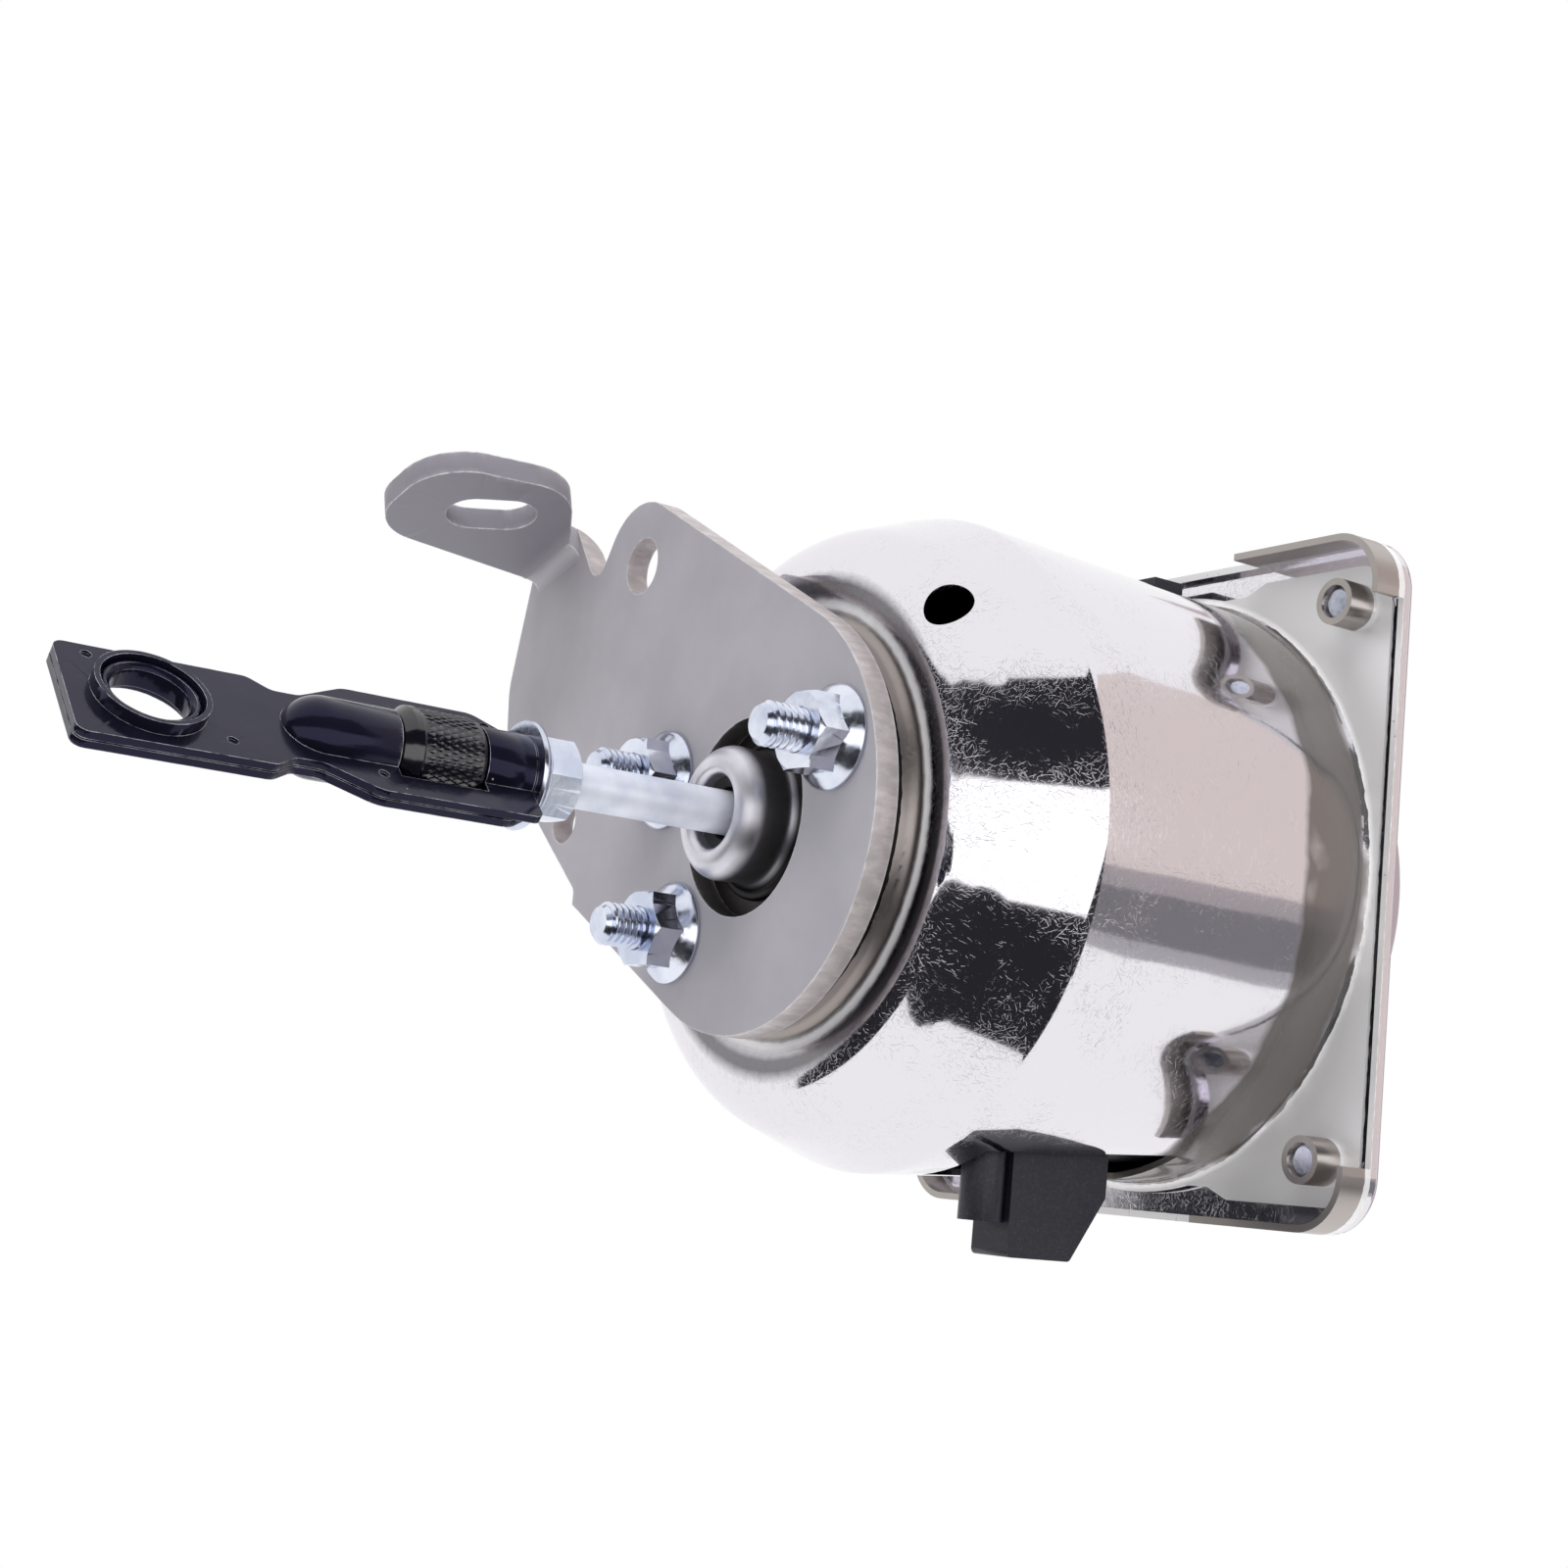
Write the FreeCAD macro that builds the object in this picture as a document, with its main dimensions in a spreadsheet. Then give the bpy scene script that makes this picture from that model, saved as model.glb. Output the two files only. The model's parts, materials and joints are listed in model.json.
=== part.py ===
import FreeCAD, Part
import math
import os

import Sketcher
from FreeCAD import Placement, Rotation, Vector

# Wastegate actuator: an electric linear actuator in a drawn steel heat shield.
# X runs along the rod, away from the eye; Z is up; the bracket's rear face is at X 0.

doc = FreeCAD.newDocument("wastegate_actuator")
sheet = doc.addObject("Spreadsheet::Sheet", "sizes")

SIZES = {
    # heat shield, a drawn can with a square flange
    "can_sheet": 0.9,
    "boss_radius": 27.6,
    "boss_height": 4.0,
    "boss_bend": 1.2,
    "shoulder_radius": 40.0,
    "shoulder_start": 3.6,
    "shoulder_bend": 9.0,
    "ridge_radius": 45.8,
    "ridge_place": 20.0,
    "can_end_radius": 43.0,
    "flange_place": 70.4,
    "flange_half": 44.6,
    "flange_corner": 6.5,
    "flange_bend": 1.3,
    "waist_half": 16.0,
    "waist_depth": 1.6,
    "collar_place": 38.5,
    "collar_radius": 3.3,
    "collar_length": 5.0,
    "vent_radius": 3.4,
    "vent_angle": 45.9,
    "vent_tilt": 45.0,
    "vent_reach": 39.7,
    "vent_place": 6.0,
    "window_front": 27.5,
    "window_rear": 62.0,
    "window_middle": -12.2,
    "window_half": 6.6,
    "notch_half": 4.5,
    "notch_length": 7.6,
    # rear cover, a pressed pan with forward lips at its corners
    "gasket_height": 1.0,
    "cover_sheet": 1.0,
    "cover_gap": 0.7,
    "lip_rise": 2.6,
    "rim_depth": 1.5,
    "lip_depth": 5.3,
    "lip_start": 18.0,
    "lip_wrap": 39.0,
    "cover_corner": 8.0,
    "cover_bend": 1.6,
    "dome_radius": 41.0,
    "dome_top_radius": 33.0,
    "dome_height": 15.5,
    "dome_bend": 5.0,
    # screws that close the cover
    "screw_radius": 2.3,
    "screw_reach": 7.2,
    "screw_head_radius": 4.2,
    "screw_head_height": 2.6,
    "drive_radius": 1.9,
    "drive_depth": 1.4,
    "thread_gap": 0.05,
    # bracket
    "plate_height": 3.5,
    "plate_radius": 29.5,
    "bore_radius": 13.6,
    "upper_slope": 25.0,
    "lower_slope": 27.7,
    "lower_run": 33.5,
    "arm_step": 2.2,
    "arm_low_across": 68.5,
    "arm_low_up": 12.5,
    "arm_low_bend": 6.0,
    "arm_end_across": 70.0,
    "arm_end_up": 24.5,
    "arm_end_bend": 10.0,
    "ear_radius": 9.7,
    "ear_across": 33.1,
    "ear_up": 39.1,
    "ear_side_slope": 62.0,
    "ear_hole_radius": 4.2,
    "side_hole_radius": 3.3,
    "side_across": 48.3,
    "side_up": 2.1,
    "fork_across": 46.0,
    "fork_up": 37.5,
    "tab_slope": 18.7,
    "tab_across": 66.6,
    "tab_up": 43.9,
    "tab_root": 13.5,
    "tab_inset": 1.2,
    "tab_length": 35.5,
    "tab_width": 21.0,
    "tab_flare": 6.0,
    "tab_end_radius": 8.5,
    "tab_side_radius": 9.5,
    "tab_bend": 2.2,
    "tab_slot_radius": 4.25,
    "tab_slot_length": 13.5,
    "tab_slot_turn": 19.0,
    "tab_slot_place": 20.2,
    "tab_slot_side": 16.3,
    # studs and flange nuts
    "stud_circle_radius": 21.5,
    "stud_turn_a": 155.0,
    "stud_turn_b": 17.0,
    "stud_turn_c": -46.0,
    "stud_radius": 3.0,
    "stud_reach": 12.0,
    "stud_head_radius": 3.8,
    "stud_head_height": 1.8,
    "nut_flat": 10.0,
    "nut_height": 6.0,
    "nut_flange_radius": 7.1,
    "nut_flange_height": 1.4,
    # guide ring and seal round the rod
    "ring_hole_radius": 5.0,
    "ring_tube": 2.2,
    "ring_reach": 6.7,
    "ring_bulge": 2.8,
    "ring_mouth": 1.1,
    "ring_foot_radius": 11.0,
    "ring_foot_height": 0.8,
    "ring_neck_radius": 7.5,
    "seal_length": 5.0,
    # rod and its lock nut
    "rod_radius": 3.0,
    "rod_tip": 68.0,
    "rod_tail": 20.0,
    "lock_place": 31.6,
    "lock_height": 6.6,
    # link: two pressed sheets, back to back, turned about the rod
    "link_turn": 42.0,
    "link_sheet": 1.1,
    "link_gap": 0.2,
    "link_tip": 98.0,
    "eye_place": 87.8,
    "eye_half": 8.9,
    "eye_plate_end": 73.6,
    "neck_half": 6.8,
    "neck_start": 70.8,
    "neck_end": 67.2,
    "wing_half": 10.4,
    "wing_start": 60.5,
    "wing_chamfer": 3.0,
    "tube_radius": 5.1,
    "tube_tip": 71.2,
    "tube_clearance": 1.0,
    "slot_front": 57.0,
    "slot_rear": 45.0,
    "slot_half": 6.7,
    "collar_outer": 7.1,
    "collar_wall": 0.7,
    "collar_rise": 2.8,
    "collar_drop": 2.1,
    "dimple_radius": 0.7,
    "dimple_depth": 0.35,
    # eye bush
    "bush_bore": 4.9,
    "bush_wall": 1.0,
    "bush_rise": 2.3,
    "bush_drop": 0.9,
    "bush_belt": 1.3,
    "bush_mouth": 0.6,
    # knurled adjuster nut held in the link's slot
    "adjuster_radius": 6.0,
    "adjuster_gap": 0.4,
    "adjuster_chamfer": 1.4,
    # plastic housing: nose, guide tube, motor tube, bulkhead and gear case
    "nose_gap": 0.1,
    "nose_height": 4.2,
    "tube_outer": 10.6,
    "guide_radius": 8.2,
    "nose_hole_radius": 3.6,
    "bulkhead_front": 47.0,
    "bulkhead_height": 4.0,
    "case_gap": 1.1,
    "case_wall": 2.2,
    "case_end": 63.0,
    "key_half": 1.4,
    "key_reach": 9.8,
    "key_gap": 0.2,
    "rib_half": 1.2,
    "shelf_half": 10.0,
    "shelf_middle": -7.0,
    "shelf_front": 12.0,
    "shelf_up": 12.6,
    "plug_front": 34.6,
    "plug_top_end": 51.5,
    "plug_end": 45.7,
    "plug_middle": -12.2,
    "plug_half": 3.8,
    "plug_bottom": 55.0,
    "plug_top": 36.0,
    "plug_wall": 1.4,
    "plug_depth": 11.0,
    "post_radius": 3.0,
    "post_place": 31.9,
    "post_across": -13.0,
    "post_bottom": 50.5,
    "web_half": 1.2,
    "web_bottom": 43.0,
    "peg_half": 3.5,
    "peg_reach": 46.4,
    # lid of the gear case
    "lid_height": 3.0,
    "lid_cap_radius": 10.5,
    "lid_cap_end": 82.0,
    "lid_cap_bore": 4.6,
    "lid_screw_inset": 4.5,
    "lid_screw_radius": 1.5,
    "lid_screw_length": 9.0,
    "lid_screw_head_radius": 2.7,
    "lid_screw_head_height": 1.8,
    "lid_boss_radius": 3.2,
    # gear train
    "tooth_module": 0.7,
    "tooth_gap": 0.36,
    "pinion_teeth": 12,
    "wheel_teeth": 40,
    "small_teeth": 16,
    "drive_teeth": 46,
    "motor_reach": 22.0,
    "wheel_front": 52.0,
    "wheel_height": 3.0,
    "drive_front": 56.0,
    "drive_height": 4.0,
    "journal_radius": 5.0,
    "journal_gap": 0.05,
    "hub_radius": 6.2,
    "bearing_radius": 7.5,
    "pin_radius": 2.0,
    "motor_radius": 12.0,
    "motor_front": 22.0,
    "motor_shaft_radius": 1.5,
    "motor_gap": 0.1,
    # lead screw and the slider that keeps it from turning
    "lead_radius": 3.5,
    "lead_front": 12.0,
    "lead_end": 66.0,
    "slider_length": 10.0,
    "slider_gap": 0.1,
    "magnet_radius": 2.0,
    "magnet_height": 2.0,
    # position sensor board and connector pins
    "board_height": 1.6,
    "board_length": 33.0,
    "pin_half": 0.35,
    "pin_pitch": 2.0,
    "pin_place": 40.2,
    "pin_end": 48.0,
}


class Size:
    # a length or angle: its number, and the same thing in terms of the sheet
    def __init__(self, value, text):
        self.value = float(value)
        self.text = text

    def __add__(self, other):
        return joined(self, "+", other)

    def __radd__(self, other):
        return joined(other, "+", self)

    def __sub__(self, other):
        return joined(self, "-", other)

    def __rsub__(self, other):
        return joined(other, "-", self)

    def __mul__(self, other):
        return joined(self, "*", other)

    def __rmul__(self, other):
        return joined(other, "*", self)

    def __truediv__(self, other):
        return joined(self, "/", other)

    def __neg__(self):
        return joined(0, "-", self)


def as_size(number):
    return number if isinstance(number, Size) else Size(number, "(%.6g)" % number)


def joined(left, sign, right):
    left, right = as_size(left), as_size(right)
    if sign == "+":
        value = left.value + right.value
    elif sign == "-":
        value = left.value - right.value
    elif sign == "*":
        value = left.value * right.value
    else:
        value = left.value / right.value
    return Size(value, "(%s %s %s)" % (left.text, sign, right.text))


def cos(angle):
    return Size(math.cos(math.radians(angle.value)), "cos(%s)" % angle.text)


def sin(angle):
    return Size(math.sin(math.radians(angle.value)), "sin(%s)" % angle.text)


def degrees(number):
    return Size(number, "(%.6g deg)" % number)


class Sheet:
    pass


d = Sheet()
for row, (alias, number) in enumerate(SIZES.items(), 1):
    sheet.set("A%d" % row, alias)
    sheet.set("B%d" % row, str(number))
    sheet.setAlias("B%d" % row, alias)
    setattr(d, alias, Size(number, "sizes." + alias))
doc.recompute()

NEXT = {"XY": "XY_Plane", "XZ": "XZ_Plane", "YZ": "YZ_Plane"}
AXES = {"X": "X_Axis", "Y": "Y_Axis", "Z": "Z_Axis"}
nodes = []


def bind(thing, name, size):
    size = as_size(size)
    thing.setExpression(name, size.text)


def body(label):
    made = doc.addObject("PartDesign::Body", label)
    made.Label = label
    nodes.append(made)
    return made


def form(label):
    # a shape that is only copied into a group, not a piece by itself
    made = body(label)
    nodes.remove(made)
    return made


def origin(owner, role):
    return [f for f in owner.Origin.OriginFeatures if f.Role == role][0]


def sketch(owner, plane, away=0, turn=None):
    # away moves the sketch along the plane's normal
    made = owner.newObject("Sketcher::SketchObject", owner.Label + "_sketch")
    made.AttachmentSupport = [(origin(owner, NEXT[plane]), "")]
    made.MapMode = "FlatFace"
    away = as_size(away)
    made.AttachmentOffset = Placement(Vector(0, 0, away.value), turn or Rotation())
    bind(made, ".AttachmentOffset.Base.z", away)
    return made


def pin_point(rules, bound, shape, end, across, up):
    # holds one point at (across, up), counted from the sketch's origin
    for kind, size, axis in (("DistanceX", across, -2), ("DistanceY", up, -1)):
        size = as_size(size)
        if size.text == "(0)":
            rules.append(Sketcher.Constraint("PointOnObject", shape, end, axis))
        else:
            bound.append((len(rules), size))
            rules.append(Sketcher.Constraint(kind, -1, 1, shape, end, size.value))


def outline(made, corners):
    # a closed run of straight edges; a corner is (across, up) or (across, up, radius)
    base = made.GeometryCount
    count = len(corners)
    places = [Vector(as_size(c[0]).value, as_size(c[1]).value, 0) for c in corners]
    leave, arrive, arcs = list(places), list(places), {}
    for i, corner in enumerate(corners):
        if len(corner) == 2:
            continue
        radius = as_size(corner[2])
        back = (places[i - 1] - places[i]).normalize()
        ahead = (places[(i + 1) % count] - places[i]).normalize()
        half = back.getAngle(ahead) / 2
        arrive[i] = places[i] + back * (radius.value / math.tan(half))
        leave[i] = places[i] + ahead * (radius.value / math.tan(half))
        middle = places[i] + (back + ahead).normalize() * (radius.value / math.sin(half))
        left_turn = back.cross(ahead).z < 0
        first, last = (arrive[i], leave[i]) if left_turn else (leave[i], arrive[i])
        from_angle = math.atan2(first.y - middle.y, first.x - middle.x)
        to_angle = math.atan2(last.y - middle.y, last.x - middle.x)
        if to_angle < from_angle:
            to_angle += 2 * math.pi
        circle = Part.Circle(middle, Vector(0, 0, 1), radius.value)
        arcs[i] = (Part.ArcOfCircle(circle, from_angle, to_angle), left_turn, radius)
    shapes = [Part.LineSegment(leave[i], arrive[(i + 1) % count]) for i in range(count)]
    made.addGeometry(shapes, False)
    rules, bound = [], []
    for i, corner in enumerate(corners):
        before, after = base + (i - 1) % count, base + i
        if i in arcs:
            arc, left_turn, radius = arcs[i]
            bend = made.addGeometry(arc, False)
            point = made.addGeometry(Part.Point(places[i]), True)
            enter, out = (1, 2) if left_turn else (2, 1)
            rules.append(Sketcher.Constraint("Tangent", before, 2, bend, enter))
            rules.append(Sketcher.Constraint("Tangent", after, 1, bend, out))
            rules.append(Sketcher.Constraint("PointOnObject", point, 1, before))
            rules.append(Sketcher.Constraint("PointOnObject", point, 1, after))
            bound.append((len(rules), radius))
            rules.append(Sketcher.Constraint("Radius", bend, radius.value))
            pin_point(rules, bound, point, 1, corner[0], corner[1])
        else:
            rules.append(Sketcher.Constraint("Coincident", before, 2, after, 1))
            pin_point(rules, bound, after, 1, corner[0], corner[1])
    settle(made, rules, bound)
    return made


def settle(made, rules, bound):
    offset = made.ConstraintCount
    made.addConstraint(rules)
    for index, size in bound:
        bind(made, "Constraints[%d]" % (offset + index), size)


def ring(made, radius, across=0, up=0):
    centre = Vector(as_size(across).value, as_size(up).value, 0)
    radius = as_size(radius)
    shape = made.addGeometry(Part.Circle(centre, Vector(0, 0, 1), radius.value), False)
    rules = [Sketcher.Constraint("Radius", shape, radius.value)]
    bound = [(0, radius)]
    pin_point(rules, bound, shape, 3, across, up)
    settle(made, rules, bound)
    return made


def box(made, left, right, low, high):
    return outline(made, [(left, low), (right, low), (right, high), (left, high)])


def pad(owner, profile, length, reverse=False, both=False, kind="Pad"):
    made = owner.newObject("PartDesign::" + kind, owner.Label + "_" + kind.lower())
    made.Profile = profile
    made.Reversed = reverse
    if both:
        made.Midplane = True
    made.Length = as_size(length).value
    bind(made, "Length", length)
    profile.Visibility = False
    return made


def cut(owner, profile, length, reverse=False, both=False):
    return pad(owner, profile, length, reverse, both, "Pocket")


def turned(owner, profile, axis="X", kind="Revolution", angle=360.0):
    made = owner.newObject("PartDesign::" + kind, owner.Label + "_" + kind.lower())
    made.Profile = profile
    made.ReferenceAxis = (origin(owner, AXES[axis]), [""])
    made.Angle = angle
    return made


def turned_profile(owner, corners):
    # corners are (along the rod, out from it)
    return turned(owner, outline(sketch(owner, "XZ"), corners))


def hollow(owner, corners):
    return turned(owner, outline(sketch(owner, "XZ"), corners), kind="Groove")


def around(owner, feature, count):
    made = owner.newObject("PartDesign::PolarPattern", owner.Label + "_pattern")
    made.Originals = [feature]
    made.Axis = (origin(owner, "X_Axis"), [""])
    made.Angle = 360
    bind(made, "Occurrences", count)
    owner.Tip = made
    return made


def place(thing, along=0, across=0, up=0, turn=0):
    for name, size in (("x", along), ("y", across), ("z", up)):
        bind(thing, ".Placement.Base." + name, size)
    thing.Placement = Placement(Vector(0, 0, 0), Rotation(Vector(1, 0, 0), 1))
    bind(thing, ".Placement.Rotation.Angle", turn)


def group(label, original, places):
    # like pieces in one node, each at (along, across, up)
    copies = []
    for along, across, up in places:
        copy = doc.addObject("App::Link", label + "_copy")
        copy.LinkedObject = original
        for name, size in (("x", along), ("y", across), ("z", up)):
            bind(copy, ".Placement.Base." + name, size)
        copies.append(copy)
    made = doc.addObject("Part::Compound", label)
    made.Label = label
    made.Links = copies
    nodes.append(made)
    return made


def rounded(owner, radius, chosen):
    # rounds the edges that the test picks
    doc.recompute()
    base = owner.Tip
    names = ["Edge%d" % n for n, edge in enumerate(base.Shape.Edges, 1) if chosen(edge)]
    made = owner.newObject("PartDesign::Fillet", owner.Label + "_round")
    made.Base = (base, names)
    bind(made, "Radius", radius)
    return made


def near(number, size):
    return abs(number - as_size(size).value) < 0.01


def all_at(edge, axis, size):
    return all(near(getattr(v.Point, axis), size) for v in edge.Vertexes)


# places along the rod that several pieces share
flange_rear = d.flange_place + d.can_sheet
gasket_rear = flange_rear + d.gasket_height
cover_rear = gasket_rear + d.cover_sheet
nose_rear = d.can_sheet + d.nose_height
nose_radius = d.boss_radius - d.can_sheet - d.boss_bend - d.nose_gap
case_radius = d.can_end_radius - d.can_sheet - d.case_gap
lid_screw_reach = case_radius - d.lid_screw_inset
bulkhead_rear = d.bulkhead_front + d.bulkhead_height
lid_rear = d.case_end + d.lid_height
stud_places = [(d.stud_circle_radius * cos(a), d.stud_circle_radius * sin(a))
               for a in (d.stud_turn_a, d.stud_turn_b, d.stud_turn_c)]
corner_places = [(d.collar_place * y, d.collar_place * z)
                 for y in (-1, 1) for z in (-1, 1)]


def wall_profile(inset):
    # the can's wall, front face to open end, moved in by inset
    return [
        (inset, d.boss_radius - inset, d.boss_bend),
        (d.boss_height + inset, d.boss_radius + 0.6 - inset, 1.5),
        (d.shoulder_start + inset, d.shoulder_radius - inset, d.shoulder_bend - inset),
        (d.ridge_place, d.ridge_radius - inset, 5.0),
    ]


# heat_shield_can: boss, shoulder, slightly tapered wall, square flange, four screw collars
can = body("heat_shield_can")
end_foot = d.can_end_radius + d.flange_bend + 0.2
turned_profile(can, [(0, 0)] + wall_profile(as_size(0)) + [
    (d.flange_place, d.can_end_radius, d.flange_bend),
    (d.flange_place, end_foot), (flange_rear, end_foot), (flange_rear, 0)])
waist = d.flange_half - d.waist_depth
half, foot = d.flange_half, d.waist_half + 4
flange_corners = [
    (-half, -half, d.flange_corner), (-foot, -half), (-d.waist_half, -waist),
    (d.waist_half, -waist), (foot, -half), (half, -half, d.flange_corner),
    (half, half, d.flange_corner), (foot, half), (d.waist_half, waist),
    (-d.waist_half, waist), (-foot, half), (-half, half, d.flange_corner)]
pad(can, outline(sketch(can, "YZ", d.flange_place), flange_corners), d.can_sheet)
collar = sketch(can, "YZ", d.flange_place - d.collar_length)
for across, up in corner_places:
    ring(collar, d.collar_radius, across, up)
pad(can, collar, d.collar_length + d.can_sheet / 2)
hollow(can, [(d.can_sheet, 0)] + wall_profile(d.can_sheet) + [
    (flange_rear + 1, d.can_end_radius - d.can_sheet - 0.1), (flange_rear + 1, 0)])
holes = sketch(can, "YZ", d.flange_place - d.collar_length - 1)
for across, up in corner_places:
    ring(holes, d.screw_radius + d.thread_gap, across, up)
cut(can, holes, d.collar_length + 4, reverse=True)
front_holes = ring(sketch(can, "YZ", -1), d.ring_neck_radius + d.thread_gap)
for across, up in stud_places:
    ring(front_holes, d.stud_radius + 0.3, across, up)
cut(can, front_holes, d.can_sheet + 2, reverse=True)
vent_roll = Rotation(Vector(1, 0, 0), d.vent_angle.value)
vent_lean = Rotation(Vector(0, 1, 0), -d.vent_tilt.value)
vent = sketch(can, "XY", 0, vent_roll * vent_lean)
for name, size in (("x", d.vent_place), ("y", -d.vent_reach * sin(d.vent_angle)),
                   ("z", d.vent_reach * cos(d.vent_angle))):
    bind(vent, ".AttachmentOffset.Base." + name, size)
ring(vent, d.vent_radius)
cut(can, vent, 12, both=True)
window = box(sketch(can, "XY", -60), d.window_front, d.window_rear,
             d.window_middle - d.window_half, d.window_middle + d.window_half)
cut(can, window, 30, reverse=True)
notch = box(sketch(can, "XY", 40), d.flange_place - d.notch_length, d.flange_place - 0.8,
            -d.notch_half, d.notch_half)
cut(can, notch, 10, reverse=True)

# cover_gasket: black seal between the flange and the cover
gasket = body("cover_gasket")
gap_ring = outline(sketch(gasket, "YZ", flange_rear), flange_corners)
ring(gap_ring, d.can_end_radius - 2)
for across, up in corner_places:
    ring(gap_ring, d.screw_radius + 0.4, across, up)
pad(gasket, gap_ring, d.gasket_height)

# rear_cover: pan with a short rim, long corner lips above and below, and a dome
cover = body("rear_cover")
side = d.flange_half + d.cover_gap + d.cover_sheet
rise = d.flange_half + d.lip_rise + d.cover_sheet


def cover_corners(inset):
    y, z, bend = side - inset, rise - inset, d.cover_corner - inset
    return [(-y, -z, bend), (y, -z, bend), (y, z, bend), (-y, z, bend)]


def cover_band(front, depth):
    band = outline(sketch(cover, "YZ", front), cover_corners(as_size(0)))
    outline(band, cover_corners(d.cover_sheet))
    return pad(cover, band, depth)


rim_front = gasket_rear - d.rim_depth
cover_band(rim_front - d.lip_depth, d.lip_depth + 0.5)
lip_gap = box(sketch(cover, "YZ", rim_front - d.lip_depth - 1),
              -d.lip_start, d.lip_start, -rise - 1, rise + 1)
cut(cover, lip_gap, d.lip_depth + 2, reverse=True)
side_gap = box(sketch(cover, "YZ", rim_front - d.lip_depth - 1),
               -side - 1, side + 1, -d.lip_wrap, d.lip_wrap)
cut(cover, side_gap, d.lip_depth + 2, reverse=True)
cover_band(rim_front, d.rim_depth + 0.5)
pad(cover, outline(sketch(cover, "YZ", gasket_rear), cover_corners(as_size(0))), d.cover_sheet)
dome_end = cover_rear + d.dome_height
turned_profile(cover, [
    (gasket_rear, 0), (gasket_rear, d.dome_radius), (cover_rear + 1.2, d.dome_radius - 0.4),
    (dome_end, d.dome_top_radius, d.dome_bend), (dome_end, 0)])
hollow(cover, [
    (gasket_rear - 1, 0), (gasket_rear - 1, d.dome_radius - d.cover_sheet),
    (cover_rear + 1, d.dome_radius - d.cover_sheet - 0.4),
    (dome_end - d.cover_sheet, d.dome_top_radius - d.cover_sheet, d.dome_bend - d.cover_sheet),
    (dome_end - d.cover_sheet, 0)])
cover_holes = sketch(cover, "YZ", gasket_rear - 1)
for across, up in corner_places:
    ring(cover_holes, d.screw_radius + 0.3, across, up)
cut(cover, cover_holes, d.cover_sheet + 2, reverse=True)
outer_edge = (d.dome_radius + 3).value
rounded(cover, d.cover_bend, lambda e: all_at(e, "x", cover_rear)
        and e.BoundBox.Center.sub(Vector(e.BoundBox.Center.x, 0, 0)).Length > outer_edge
        and not (e.Curve.TypeId == "Part::GeomCircle" and e.Curve.Radius < 4))

# cover_screws: pan heads behind the cover, tips inside the collars
screw = form("cover_screw_form")
turned_profile(screw, [
    (-d.screw_reach, 0), (-d.screw_reach, d.screw_radius - 0.5),
    (0.5 - d.screw_reach, d.screw_radius), (0, d.screw_radius), (0, d.screw_head_radius),
    (d.screw_head_height, d.screw_head_radius, 1.6), (d.screw_head_height, 0)])
drive = sketch(screw, "YZ", d.screw_head_height - d.drive_depth)
turn_sizes = [as_size(60.0 * k) for k in range(6)]
outline(drive, [(d.drive_radius * cos(a), d.drive_radius * sin(a)) for a in turn_sizes])
cut(screw, drive, d.drive_depth + 1, reverse=True)
group("cover_screws", screw, [(cover_rear, y, z) for y, z in corner_places])

# mounting_bracket: round plate with an eared, slotted extension; the tab is bent forward
bracket = body("mounting_bracket")
pad(bracket, ring(sketch(bracket, "YZ"), d.plate_radius), d.plate_height, reverse=True)
upper_touch = (-d.plate_radius * sin(d.upper_slope), d.plate_radius * cos(d.upper_slope))
lower_touch = (d.plate_radius * sin(d.lower_slope), -d.plate_radius * cos(d.lower_slope))
step = (lower_touch[0] + d.lower_run * cos(d.lower_slope),
        lower_touch[1] + d.lower_run * sin(d.lower_slope))
turn_back = d.ear_side_slope - d.upper_slope
ear_corner = (
    d.ear_across + d.ear_radius * (sin(d.ear_side_slope) - sin(d.upper_slope))
    / (1 + cos(d.ear_side_slope + d.upper_slope)),
    d.ear_up + d.ear_radius * (cos(d.ear_side_slope) + cos(d.upper_slope))
    / (1 + cos(d.ear_side_slope + d.upper_slope)))
tab_right, tab_left = [
    (d.tab_across - along * cos(d.tab_slope), d.tab_up + along * sin(d.tab_slope))
    for along in (d.tab_inset, d.tab_root)]
arm = outline(sketch(bracket, "YZ"), [
    lower_touch, step, (step[0], step[1] + d.arm_step, 1.5),
    (d.arm_low_across, d.arm_low_up, d.arm_low_bend),
    (d.arm_end_across, d.arm_end_up, d.arm_end_bend),
    tab_right, tab_left, (d.fork_across, d.fork_up, 2.5),
    (ear_corner[0], ear_corner[1], d.ear_radius), upper_touch])
pad(bracket, arm, d.plate_height, reverse=True)
tab_plane = sketch(bracket, "XY", 0, Rotation(Vector(1, 0, 0), -d.tab_slope.value))
for name, size in (("y", d.tab_across), ("z", d.tab_up)):
    bind(tab_plane, ".AttachmentOffset.Base." + name, size)
bind(tab_plane, ".AttachmentOffset.Rotation.Angle", -d.tab_slope)
wide = d.tab_flare + d.tab_width
outline(tab_plane, [
    (0, -d.tab_inset), (0, -d.tab_root), (-d.plate_height - 1.5, -d.tab_root),
    (-d.tab_length * 0.35, -wide, d.tab_side_radius),
    (-d.tab_length + 1, -wide + 1.2, d.tab_end_radius + 1),
    (-d.tab_length, -d.tab_flare, d.tab_end_radius), (-d.plate_height - 1.5, -d.tab_inset)])
pad(bracket, tab_plane, d.plate_height, reverse=True)


def bend_sketch(start):
    # across the bend line: local x is X, local y stands on the tab's top face
    made = sketch(bracket, "XZ", 0, Rotation(Vector(1, 0, 0), -d.tab_slope.value))
    for name, size in (("y", d.tab_up + start * sin(d.tab_slope)),
                       ("z", start * cos(d.tab_slope) - d.tab_across)):
        bind(made, ".AttachmentOffset.Base." + name, size)
    bind(made, ".AttachmentOffset.Rotation.Angle", -d.tab_slope)
    return made


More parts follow.
